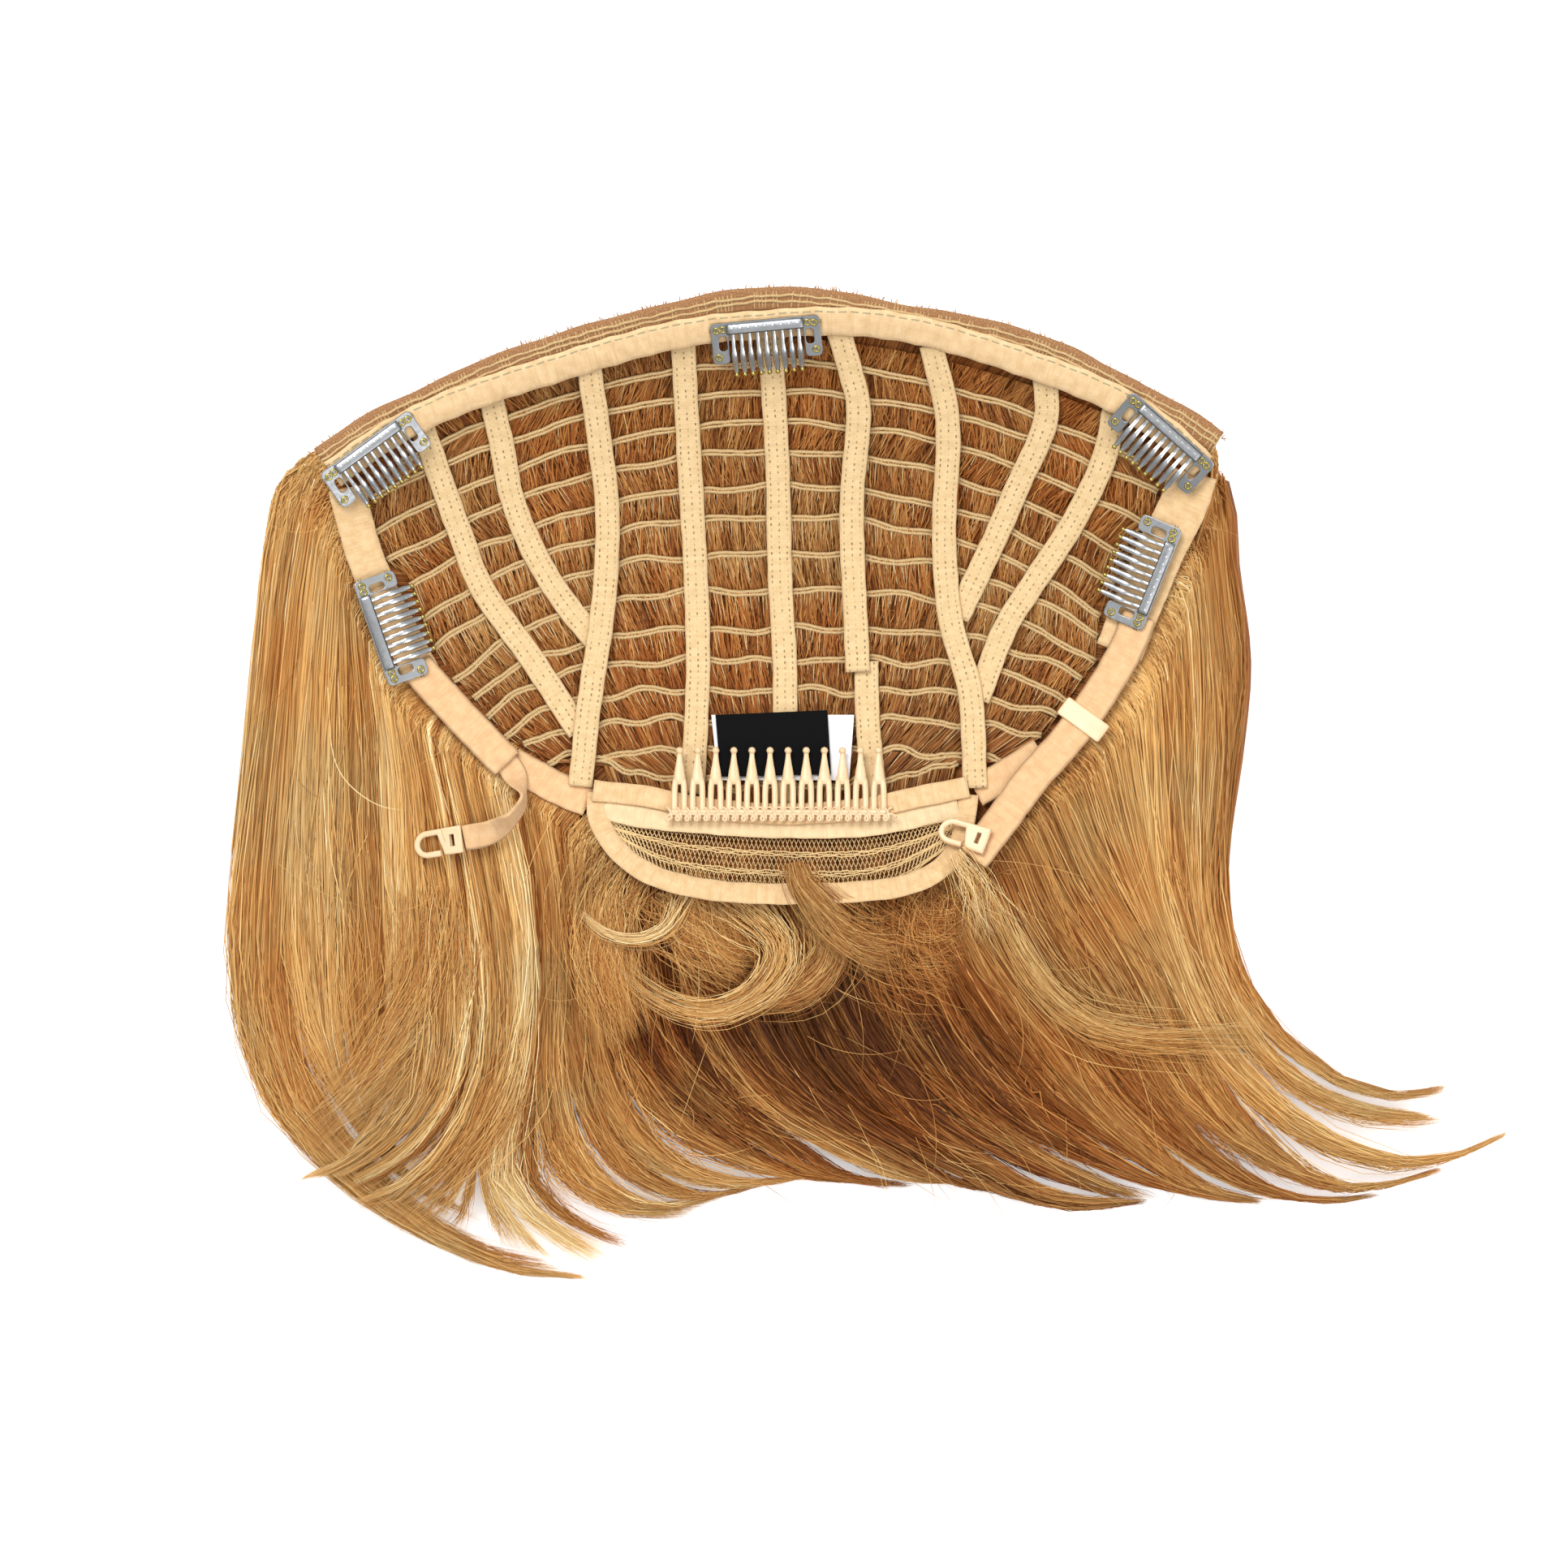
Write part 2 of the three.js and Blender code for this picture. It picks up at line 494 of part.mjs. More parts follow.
// The loose end of the left strap leaves the elastic flat, turns up on its edge and comes down on the hair.
// Base goes from the bowl, 0, to the level of the hair's top, 1. Lift is how high the strap's centre lies
// above it, in strap widths, and roll is in degrees from the bowl.
const ADJUSTER = [
  { at: [-0.62, -0.17], base: 0, lift: 0.26, roll: 0 },
  { at: [-0.582, -0.206], base: 0, lift: 0.27, roll: 0 },
  { at: [-0.556, -0.25], base: 0, lift: 0.95, roll: -72 },
  { at: [-0.58, -0.285], base: 0, lift: 0.45, roll: -70 },
  { at: [-0.63, -0.31], base: 1, lift: -0.13, roll: -40 },
  { at: [-0.69, -0.32], base: 1, lift: -0.55, roll: -12 },
];
const ADJUSTER_STEPS = 14;
// The way that the hook runs on is taken from this place on the strap to its end
const HOOK_RUN_IN = 0.93;

function adjusterFrame(t) {
  const place = t * (ADJUSTER.length - 1);
  const index = Math.min(Math.floor(place), ADJUSTER.length - 2);
  const blend = THREE.MathUtils.smoothstep(place - index, 0, 1);
  const between = (key) => THREE.MathUtils.lerp(ADJUSTER[index][key], ADJUSTER[index + 1][key], blend);
  return {
    base: between("base"),
    lift: between("lift") * ADJUSTER_WIDTH,
    roll: THREE.MathUtils.degToRad(between("roll")),
  };
}

const adjusterCurve = capRoute(ADJUSTER.map((row) => row.at));

function adjusterPoint(t, across, up) {
  const { base, lift, roll } = adjusterFrame(t);
  const spot = adjusterCurve.getPoint(t);
  const ahead = adjusterCurve.getTangent(t);
  const left = new THREE.Vector3(-ahead.y, ahead.x, 0).normalize();
  const slope = bowlHeight(spot.x + left.x, spot.y + left.y) - bowlHeight(spot.x, spot.y);
  const turn = roll + Math.atan(slope);
  const side = left.clone().multiplyScalar(Math.cos(turn));
  side.z = Math.sin(turn);
  const face = left.multiplyScalar(-Math.sin(turn));
  face.z = Math.cos(turn);
  spot.z = THREE.MathUtils.lerp(bowlHeight(spot.x, spot.y), FALL_TOP, base) + lift;
  return spot.addScaledVector(side, across).addScaledVector(face, up);
}

const adjusterBlock = new THREE.BoxGeometry(1, ADJUSTER_WIDTH, CLOTH, ADJUSTER_STEPS, 1, 1);
add("adjuster_band_left", mapped(adjusterBlock, ({ x, y, z }) => adjusterPoint(x + 0.5, y, z)), STRAP);

// A plastic hook, drawn from the strap bar outwards: a ladder of bars that runs into an open hook
function hookShape() {
  const half = HOOK_WIDTH / 2;
  const bend = HOOK_LENGTH - half;
  const shape = new THREE.Shape();
  shape.moveTo(0, -half);
  shape.lineTo(bend, -half);
  shape.absarc(bend, 0, half, -Math.PI / 2, Math.PI / 2);
  shape.lineTo(bend - half, half);
  shape.lineTo(bend - half, half - HOOK_WIRE);
  shape.lineTo(bend, half - HOOK_WIRE);
  shape.absarc(bend, 0, half - HOOK_WIRE, Math.PI / 2, -Math.PI / 2, true);
  shape.lineTo(HOOK_LENGTH / 2, HOOK_WIRE - half);
  shape.lineTo(HOOK_LENGTH / 2 - HOOK_WIRE, half);
  shape.lineTo(0, half);
  const slot = new THREE.Path();
  slot.moveTo(HOOK_WIRE, HOOK_WIRE - half);
  slot.lineTo(HOOK_WIRE, half - HOOK_WIRE);
  slot.lineTo(HOOK_LENGTH / 2 - 2 * HOOK_WIRE, half - HOOK_WIRE);
  slot.lineTo(HOOK_LENGTH / 2 - 2 * HOOK_WIRE, HOOK_WIRE - half);
  shape.holes.push(slot);
  return shape;
}

// A rigid piece set on a strap's end or on the bowl: its x axis runs ahead and its z axis points up
function placed(origin, ahead, up) {
  const group = new THREE.Group();
  const side = up.clone().cross(ahead).normalize();
  const forward = side.clone().cross(up).normalize();
  const basis = new THREE.Matrix4().makeBasis(forward, side, up.clone().normalize());
  group.applyMatrix4(basis.setPosition(origin));
  hairpiece.add(group);
  return group;
}

function addHookLeft() {
  const end = adjusterPoint(1, 0, -HOOK_WIRE / 2);
  const before = adjusterPoint(HOOK_RUN_IN, 0, -HOOK_WIRE / 2);
  const ahead = end.clone().sub(before).normalize();
  const acrossStrap = adjusterPoint(1, 1, -HOOK_WIRE / 2).sub(end);
  const group = placed(end.addScaledVector(ahead, GAP), ahead, ahead.clone().cross(acrossStrap));
  add("hook_left", plate(hookShape(), HOOK_WIRE, 6), PLASTIC, group);
}
addHookLeft();

// The right hook is sewn on top of the strap's end and reaches on over the corner of the nape piece
const HOOK_RIGHT = { at: [0.468, -0.338], turn: 158 };

function addHookRight() {
  const end = capPoint(HOOK_RIGHT.at);
  const turn = THREE.MathUtils.degToRad(HOOK_RIGHT.turn);
  const ahead = new THREE.Vector3(Math.cos(turn), Math.sin(turn), 0);
  const up = bowlNormal(end.x, end.y);
  end.z = bowlHeight(end.x, end.y);
  end.addScaledVector(up, CLIP_LAYER + GAP);
  const group = placed(end, ahead, up);
  add("hook_right", plate(hookShape(), HOOK_WIRE, 6), PLASTIC, group);
}
addHookRight();

// The slider is a ring that leans, so that the strap runs under its one bar and over the other
const SLIDER_PLACE = 0.4;

function addSlider() {
  const strap = capRoute(ELASTIC_RIGHT);
  const centre = strap.getPointAt(SLIDER_PLACE);
  const ahead = strap.getTangentAt(SLIDER_PLACE);
  centre.z = bowlHeight(centre.x, centre.y) + TOP_LAYER + CLOTH / 2;
  const group = placed(centre, ahead, bowlNormal(centre.x, centre.y));
  const ring = new THREE.Shape();
  const hole = new THREE.Path();
  const halves = [SLIDER_WIDTH / 2, SLIDER_LENGTH / 2];
  ring.setFromPoints([[-1, -1], [1, -1], [1, 1], [-1, 1]].map(([a, b]) =>
    new THREE.Vector2(a * halves[0], b * halves[1])));
  hole.setFromPoints([[-1, -1], [-1, 1], [1, 1], [1, -1]].map(([a, b]) =>
    new THREE.Vector2(a * (halves[0] - SLIDER_WIRE), b * (halves[1] - SLIDER_WIRE))));
  ring.holes.push(hole);
  const geometry = plate(ring, SLIDER_WIRE).translate(0, 0, -SLIDER_WIRE / 2);
  geometry.rotateY(THREE.MathUtils.degToRad(-SLIDER_TILT));
  add("strap_slider_right", geometry, PLASTIC, group);
}
addSlider();

// Labels, left bare
const WHITE_LABEL = { top: [[-0.145, -0.111], [0.171, -0.111]], bottom: [[-0.13, -0.222], [0.16, -0.222]] };
const BLACK_LABEL = { top: [
  [-0.136, -0.111], [0.112, -0.103]], bottom: [[-0.125, -0.216], [0.12, -0.212],
] };

function label({ top, bottom }, layer) {
  const upper = capRoute(top);
  const lower = capRoute(bottom);
  const edges = [(t) => lower.getPointAt(t), (t) => upper.getPointAt(t)];
  return laidSheet(...edges, { steps: 4, layer, thickness: LABEL_THICKNESS });
}
add("label_white", label(WHITE_LABEL, MIDDLE_LAYER), LABEL_WHITE);
add("label_black", label(BLACK_LABEL, MIDDLE_LAYER + LABEL_THICKNESS + GAP), LABEL_BLACK);

// Plastic comb: its spine lies along the upper nape tape and its teeth point at the crown
function combShape() {
  const shape = new THREE.Shape();
  const half = (COMB_TEETH * COMB_PITCH) / 2;
  const slotEnd = COMB_TOOTH_LENGTH * COMB_SPLIT_END;
  const neckStart = COMB_TOOTH_LENGTH * COMB_NECK_START;
  const tipStart = COMB_TOOTH_LENGTH - COMB_TIP_WIDTH;
  shape.moveTo(-half, -COMB_SPINE_WIDTH);
  shape.lineTo(half, -COMB_SPINE_WIDTH);
  for (let i = COMB_TEETH - 1; i >= 0; i -= 1) {
    const x = (i - (COMB_TEETH - 1) / 2) * COMB_PITCH;
    shape.lineTo(x + COMB_TOOTH_WIDTH / 2, 0);
    shape.lineTo(x + COMB_NECK_WIDTH / 2, neckStart);
    shape.lineTo(x + COMB_NECK_WIDTH / 2, tipStart);
    shape.lineTo(x + COMB_TIP_WIDTH / 2, COMB_TOOTH_LENGTH - COMB_TIP_WIDTH / 2);
    shape.lineTo(x, COMB_TOOTH_LENGTH);
    shape.lineTo(x - COMB_TIP_WIDTH / 2, COMB_TOOTH_LENGTH - COMB_TIP_WIDTH / 2);
    shape.lineTo(x - COMB_NECK_WIDTH / 2, tipStart);
    shape.lineTo(x - COMB_NECK_WIDTH / 2, neckStart);
    shape.lineTo(x - COMB_TOOTH_WIDTH / 2, 0);
    const slot = new THREE.Path();
    slot.moveTo(x - COMB_SLOT_WIDTH / 2, COMB_SLOT_WIDTH / 2);
    slot.lineTo(x, slotEnd);
    slot.lineTo(x + COMB_SLOT_WIDTH / 2, COMB_SLOT_WIDTH / 2);
    shape.holes.push(slot);
  }
  return shape;
}

function combGeometry() {
  const [across, along] = NAPE_UPPER[3];
  const centre = capPoint([across, along]);
  return mapped(plate(combShape(), COMB_THICKNESS), ({ x, y, z }) => {
    const spot = new THREE.Vector3(centre.x + x, centre.y + y + COMB_SPINE_WIDTH / 2, 0);
    spot.z = bowlHeight(spot.x, spot.y) + CLIP_LAYER + z;
    return spot;
  });
}
add("comb", combGeometry(), PLASTIC);

// Steel snap clips: the centre of the back edge, and the way the clip runs in degrees
const CLIPS = [
  { at: [-0.028, 0.569], turn: 186 },
  { at: [-0.918, 0.355], turn: 214.6 },
  { at: [-0.905, 0.02], turn: -70 },
  { at: [0.885, 0.38], turn: 139 },
  { at: [0.86, 0.115], turn: 66.5 },
];
const EYELET_SIDES = 6;

// A flat clip stands clear of the curved cap at its middle, so that its corners stay above the cloth
function cornerRise(ahead, inward) {
  const rises = [-1, 1].map((side) => {
    const corner = ahead.clone().multiplyScalar(CLIP_LENGTH / 2);
    corner.addScaledVector(inward, (side * CLIP_DEPTH) / 2);
    return (corner.x / CAP_HALF_WIDTH) ** 2 + (corner.y / (BOWL_SPAN * CAP_LENGTH)) ** 2;
  });
  return BOWL_DEPTH * Math.max(...rises);
}

function rectangle(target, left, low, right, high) {
  target.moveTo(left, low);
  target.lineTo(right, low);
  target.lineTo(right, high);
  target.lineTo(left, high);
  return target;
}

function clipFrameShape() {
  const half = CLIP_LENGTH / 2;
  const window = half - CLIP_END_PAD;
  const shape = new THREE.Shape();
  shape.moveTo(-half + CLIP_CORNER, 0);
  shape.lineTo(half - CLIP_CORNER, 0);
  shape.lineTo(half, CLIP_CORNER);
  shape.lineTo(half, CLIP_DEPTH - CLIP_CORNER);
  shape.lineTo(half - CLIP_CORNER, CLIP_DEPTH);
  shape.lineTo(window, CLIP_DEPTH);
  shape.lineTo(window, CLIP_BACK_BAR);
  shape.lineTo(-window, CLIP_BACK_BAR);
  shape.lineTo(-window, CLIP_DEPTH);
  shape.lineTo(-half + CLIP_CORNER, CLIP_DEPTH);
  shape.lineTo(-half, CLIP_DEPTH - CLIP_CORNER);
  shape.lineTo(-half, CLIP_CORNER);
  for (const side of [-1, 1]) {
    const slotX = side * (window + CLIP_SLOT_WIDTH / 2 + CLIP_SLOT_EDGE);
    const slotY = CLIP_DEPTH / 2 - CLIP_SLOT_LENGTH / 2;
    const ends = [slotX - CLIP_SLOT_WIDTH / 2, slotX + CLIP_SLOT_WIDTH / 2];
    shape.holes.push(rectangle(new THREE.Path(), ends[0], slotY, ends[1], slotY + CLIP_SLOT_LENGTH));
    for (const height of [CLIP_EYELET_FROM_EDGE, CLIP_DEPTH - CLIP_EYELET_FROM_EDGE]) {
      const eyelet = new THREE.Path();
      eyelet.absarc(side * (half - CLIP_EYELET_FROM_END), height, CLIP_EYELET / 2, 0, 2 * Math.PI);
      shape.holes.push(new THREE.Path(eyelet.getSpacedPoints(EYELET_SIDES).slice(0, -1)));
    }
  }
  return shape;
}

function clipCombShape() {
  const shape = new THREE.Shape();
  const half = (CLIP_TEETH * CLIP_TOOTH_PITCH) / 2;
  shape.moveTo(-half, GAP);
  shape.lineTo(half, GAP);
  shape.lineTo(half, CLIP_BACK_BAR);
  for (let i = CLIP_TEETH - 1; i >= 0; i -= 1) {
    const x = (i - (CLIP_TEETH - 1) / 2) * CLIP_TOOTH_PITCH;
    shape.lineTo(x + CLIP_TOOTH_WIDTH / 2, CLIP_BACK_BAR);
    shape.lineTo(x + CLIP_TOOTH_WIDTH / 2, CLIP_REACH - CLIP_TOOTH_WIDTH / 2);
    shape.lineTo(x, CLIP_REACH);
    shape.lineTo(x - CLIP_TOOTH_WIDTH / 2, CLIP_REACH - CLIP_TOOTH_WIDTH / 2);
    shape.lineTo(x - CLIP_TOOTH_WIDTH / 2, CLIP_BACK_BAR);
  }
  shape.lineTo(-half, CLIP_BACK_BAR);
  return shape;
}

CLIPS.forEach(({ at, turn }, index) => {
  const angle = THREE.MathUtils.degToRad(turn);
  const back = capPoint(at);
  const inward = new THREE.Vector3(-Math.sin(angle), Math.cos(angle), 0);
  const middle = back.clone().addScaledVector(inward, CLIP_DEPTH / 2);
  const up = bowlNormal(middle.x, middle.y);
  const ahead = new THREE.Vector3(Math.cos(angle), Math.sin(angle), 0);
  middle.z = bowlHeight(middle.x, middle.y);
  middle.addScaledVector(up, CLIP_LAYER + cornerRise(ahead, inward));
  const group = placed(middle, ahead, up);
  const frame = plate(clipFrameShape(), CLIP_SHEET).translate(0, -CLIP_DEPTH / 2, 0);
  const comb = plate(clipCombShape(), CLIP_SHEET).translate(0, -CLIP_DEPTH / 2, CLIP_SHEET + GAP);
  add(`clip_${index + 1}_frame`, frame, STEEL, group);
  add(`clip_${index + 1}_comb`, comb, STEEL, group);
});

export default hairpiece;
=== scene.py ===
"""A demi-cap clip-in hairpiece that lies hair-down, with the inside of its cap facing up.

Metres, +Z up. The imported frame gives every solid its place; this script gives each one its look.
"""

import math

import bpy
import numpy as np
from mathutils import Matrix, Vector


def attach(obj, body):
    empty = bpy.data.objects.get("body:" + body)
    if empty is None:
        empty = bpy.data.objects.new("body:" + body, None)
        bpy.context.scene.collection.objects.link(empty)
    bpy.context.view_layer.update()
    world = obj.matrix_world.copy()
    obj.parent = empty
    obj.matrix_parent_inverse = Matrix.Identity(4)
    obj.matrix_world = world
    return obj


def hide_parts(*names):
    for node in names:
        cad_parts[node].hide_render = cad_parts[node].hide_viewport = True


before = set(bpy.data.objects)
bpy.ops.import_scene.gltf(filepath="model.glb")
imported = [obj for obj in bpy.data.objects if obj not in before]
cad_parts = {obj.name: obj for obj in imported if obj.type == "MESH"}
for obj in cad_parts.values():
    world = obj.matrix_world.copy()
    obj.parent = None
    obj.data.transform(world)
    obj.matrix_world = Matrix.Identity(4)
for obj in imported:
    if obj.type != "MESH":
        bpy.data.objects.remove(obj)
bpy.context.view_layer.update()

MM = 0.001
# The share of the hairs that is made, and that of the loose ones
STRAND_SHARE = 1.0
LOOSE_SHARE = max(STRAND_SHARE, 0.5)

# The cap: half its width at the ears and its length, and the bowl that its inside makes
CAP = np.array([132.5, 173]) * MM
CROWN_HEIGHT = 13 * MM
BOWL_DEPTH = 22 * MM
BOWL_LOW = 0.087
BOWL_SPAN = 0.49
# The free hair, measured from an ear to the tips
HAIR_LENGTH = 238 * MM
FALL_DROP = 2 * MM
FALL_TOP = CROWN_HEIGHT + BOWL_DEPTH - FALL_DROP
TIP_HEIGHT = 2.5 * MM

# Widths of one drawn hair or thread, each of which stands for several real ones
ROW_HAIR = 0.32 * MM
ROW_THREAD = 0.26 * MM
WALL_HAIR = 0.5 * MM
FALL_HAIR = 0.34 * MM
FUZZ_HAIR = 0.3 * MM
LOOSE_HAIR = 0.17 * MM

# Cloth and cords
CLOTH = 1 * MM
GAP = 0.3 * MM
BOWL_CLEARANCE = 0.2 * MM
HAIR_CLEARANCE = 0.75 * MM
WEFT_THICKNESS = 1.6 * MM
RIBBON_WIDTH = 7.2 * MM
FRONT_TAPE_WIDTH = 8.6 * MM
RIM_WIDTH = 7.4 * MM
RIM_THICKNESS = 3.2 * MM
SIDE_TAPE_LEFT_WIDTH = 10.6 * MM
SIDE_TAPE_RIGHT_WIDTH = 14 * MM
ELASTIC_WIDTH = 10 * MM
LINK_WIDTH = 9.5 * MM
NAPE_UPPER_WIDTH = 6.2 * MM
NAPE_LOWER_WIDTH = 6.6 * MM
NAPE_RIM_WIDTH = 6.2 * MM
ADJUSTER_WIDTH = 7.6 * MM
LABEL_THICKNESS = 0.6 * MM

# Plastic comb
COMB_TEETH = 12
COMB_PITCH = 5.3 * MM
COMB_TOOTH_LENGTH = 17.6 * MM
COMB_SPINE_WIDTH = 3.9 * MM
COMB_THICKNESS = 1.4 * MM

# Steel snap clips
CLIP_LENGTH = 32 * MM
CLIP_DEPTH = 12.8 * MM
CLIP_BACK_BAR = 3.4 * MM
CLIP_END_PAD = 5 * MM
CLIP_SHEET = 0.6 * MM
CLIP_CORNER = 1.6 * MM
CLIP_REACH = 17.2 * MM
CLIP_TEETH = 9
CLIP_TOOTH_PITCH = 2.4 * MM
CLIP_SLOT_WIDTH = 2.4 * MM
CLIP_SLOT_LENGTH = 4.7 * MM

# Plastic hooks and slider
HOOK_WIDTH = 8 * MM
HOOK_LENGTH = 15 * MM
HOOK_WIRE = 1.7 * MM
SLIDER_LENGTH = 15.4 * MM
SLIDER_WIDTH = 6 * MM
SLIDER_WIRE = 1.2 * MM

# Layers above the bowl, from the hair up
UNDER_LAYER = BOWL_CLEARANCE
MIDDLE_LAYER = UNDER_LAYER + CLOTH + GAP
TOP_LAYER = MIDDLE_LAYER + CLOTH + GAP
CLIP_LAYER = TOP_LAYER + CLOTH + GAP
WEFT_LAYER = UNDER_LAYER - GAP - WEFT_THICKNESS
PAD_LAYER = WEFT_LAYER - HAIR_CLEARANCE
RIM_LAYER = TOP_LAYER - GAP - RIM_THICKNESS


# Routes. A cap share is a pair: across half the cap's width, and along its length.
def bowl_height(points):
    across = points[..., 0] / CAP[0]
    along = (points[..., 1] / CAP[1] - BOWL_LOW) / BOWL_SPAN
    return CROWN_HEIGHT + BOWL_DEPTH * (across**2 + along**2)


def bowl_normal(point):
    slope_x = 2 * BOWL_DEPTH * point[0] / CAP[0] ** 2
    slope_y = 2 * BOWL_DEPTH * (point[1] / CAP[1] - BOWL_LOW) / (BOWL_SPAN**2 * CAP[1])
    return unit(np.array([-slope_x, -slope_y, 1.0]))


def unit(vectors):
    return vectors / np.maximum(np.linalg.norm(vectors, axis=-1, keepdims=True), 1e-12)


def raised(plan, height):
    """Points of a plan at their heights"""
    return np.concatenate([plan, height[..., None]], -1)


def laid(plan, layer):
    """Points of a plan set on the bowl, a layer above it"""
    return raised(plan, bowl_height(plan) + layer)


def curve_between(around, share):
    """The centripetal curve of four points, at shares of the way from the second to the third"""
    k = np.cumsum([0, *(np.linalg.norm(q - p) ** 0.5 for p, q in zip(around, around[1:]))])
    t = k[1] + share * (k[2] - k[1])
    level = around
    for knots in (((0, 1), (1, 2), (2, 3)), ((0, 2), (1, 3)), ((1, 2),)):
        level = [
            first + (second - first) * (t - k[low]) / (k[high] - k[low])
            for first, second, (low, high) in zip(level, level[1:], knots)
        ]
    return level[0]


def smooth_line(points, count, closed=False):
    """Evenly spaced points on a centripetal curve through a few chosen ones"""
    points = np.asarray(points, float)
    if closed:
        points = np.vstack([points[-1:], points, points[:2]])
    else:
        points = np.vstack([2 * points[0] - points[1], points, 2 * points[-1] - points[-2]])
    share = np.linspace(0, 1, 24, endpoint=False)[:, None]
    pieces = [curve_between(around, share) for around in zip(points, points[1:], points[2:], points[3:])]
    fine = np.vstack([*pieces, points[-2:-1]])
    places = distances(fine)
    even = np.linspace(0, places[-1], count)
    return np.stack([np.interp(even, places, axis) for axis in fine.T], -1)


def distances(lines):
    """How far along its line each point lies"""
    steps = np.linalg.norm(np.diff(lines, axis=-2), axis=-1)
    return np.concatenate([np.zeros_like(steps[..., :1]), np.cumsum(steps, -1)], -1)


def cap_line(shares, pitch):
    rough = smooth_line(np.array(shares) * CAP, 40)
    return smooth_line(np.array(shares) * CAP, max(4, round(distances(rough)[-1] / pitch) + 1))


def rightwards(plan):
    """The way to the right of each point of a line seen from above"""
    ahead = unit(np.gradient(plan, axis=-2))
    return np.stack([ahead[..., 1], -ahead[..., 0]], -1)


def axes_along(lines, up=(0.0, 0.0, 1.0)):
    ahead = unit(np.gradient(lines, axis=-2))
    right = unit(np.cross(ahead, np.broadcast_to(up, ahead.shape)))
    return right, np.cross(right, ahead)


def waves(rng, shape, share, counts=(1.3, 2.9, 5.3)):
    """Smooth random values between about -1 and 1 along the last axis"""
    total = np.zeros((*shape, len(share)))
    for count in counts:
        phase = rng.uniform(0, 2 * math.pi, (*shape, 1))
        total += np.sin(2 * math.pi * count * share + phase) / len(counts)
    return total


# Meshes
class Pile:
    """Grids of points gathered into one mesh. Its UVs are metres across and along each grid."""

    def __init__(self):
        self.points, self.faces, self.maps, self.tones = [], [], [], []
        self.count = 0

    def add(self, grids, tone=0.5, wrap=False):
        grids = grids[None] if grids.ndim == 3 else grids
        n, rows, cols = grids.shape[:3]
        spans = cols if wrap else cols - 1
        grid, row, col = np.meshgrid(np.arange(n), np.arange(rows - 1), np.arange(spans), indexing="ij")
        corners = [(row, col), (row, col + 1), (row + 1, col + 1), (row + 1, col)]
        index = [self.count + (grid * rows + r) * cols + c % cols for r, c in corners]
        ring = grids[:, rows // 2]
        ring = np.concatenate([ring, ring[:, :1]], 1) if wrap else ring
        across, along = distances(ring), distances(grids[:, :, cols // 2])
        places = [np.stack([across[grid, c], along[grid, r]], -1) for r, c in corners]
        self.faces.append(np.stack(index, -1).reshape(-1, 4))
        self.maps.append(np.stack(places, -2).reshape(-1, 2))
        self.points.append(grids.reshape(-1, 3))
        self.tones.append(np.broadcast_to(tone, grids.shape[:3]).ravel())
        self.count += n * rows * cols
        return self

    def piece(self, name, material, slot, replaces=(), body="root"):
        points, faces = np.concatenate(self.points), np.concatenate(self.faces)
        mesh = bpy.data.meshes.new(name)
        mesh.vertices.add(len(points))
        mesh.vertices.foreach_set("co", points.ravel())
        mesh.loops.add(faces.size)
        mesh.loops.foreach_set("vertex_index", faces.ravel())
        mesh.polygons.add(len(faces))
        mesh.polygons.foreach_set("loop_start", np.arange(0, faces.size, 4))
        mesh.update(calc_edges=True)
        mesh.uv_layers.new(name="Lengths").data.foreach_set("uv", np.concatenate(self.maps).ravel())
        tone = mesh.attributes.new("tone", "FLOAT", "POINT")
        tone.data.foreach_set("value", np.concatenate(self.tones).astype(float))
        mesh.shade_smooth()
        return shown(name, mesh, material, slot, replaces, body)


def in_scene(name, data):
    made = bpy.data.objects.new(name, data)
    bpy.context.scene.collection.objects.link(made)
    return made


def shown(name, mesh, material, slot, replaces=(), body="root"):
    """Makes a mesh a piece of the object, on a body and with a finish"""
    mesh.materials.clear()
    mesh.materials.append(material)
    made = in_scene(name, mesh)
    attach(made, body)
    if replaces:
        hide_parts(*replaces)
    return made


# How wide the drawn-in end of a rod or a tape stays, as a share of its width
SHUT = 0.02


def tubes(lines, radius, sides=6, flat=1.0, up=(0.0, 0.0, 1.0)):
    """Closed round or flattened rods along many lines; radius is one number or one for each point"""
    lines = lines[None] if lines.ndim == 2 else lines
    right, above = axes_along(lines, up)
    radius = np.broadcast_to(radius, lines.shape[:2])[..., None, None]
    turn = np.arange(sides)[:, None] * 2 * math.pi / sides
    section = right[:, :, None] * np.sin(turn) + above[:, :, None] * np.cos(turn) * flat
    rings = lines[:, :, None] + section * radius
    first = lines[:, :1, None] + (rings[:, :1] - lines[:, :1, None]) * SHUT
    last = lines[:, -1:, None] + (rings[:, -1:] - lines[:, -1:, None]) * SHUT
    return np.concatenate([first, rings, last], 1)


def balls(centres, radius, rows=7, sides=8):
    polar = np.linspace(0.02, math.pi - 0.02, rows)[:, None]
    turn = np.arange(sides)[None] * 2 * math.pi / sides
    ball = [np.sin(polar) * np.sin(turn), np.sin(polar) * np.cos(turn), -np.cos(polar) + 0 * turn]
    return centres[:, None, None] + np.stack(ball, -1) * radius


def strands(lines, width, rng, roll=0.8, point=0.85):
    """Flat hairs along many lines, each turned by its own angle and drawn out to a point"""
    right, above = axes_along(lines)
    turn = rng.normal(0, roll, (len(lines), 1, 1))
    side = right * np.cos(turn) + above * np.sin(turn)
    share = np.linspace(0, 1, lines.shape[1])
    half = side * (width / 2 * (1 - point * share**4))[:, None]
    return np.stack([lines - half, lines + half], 2)


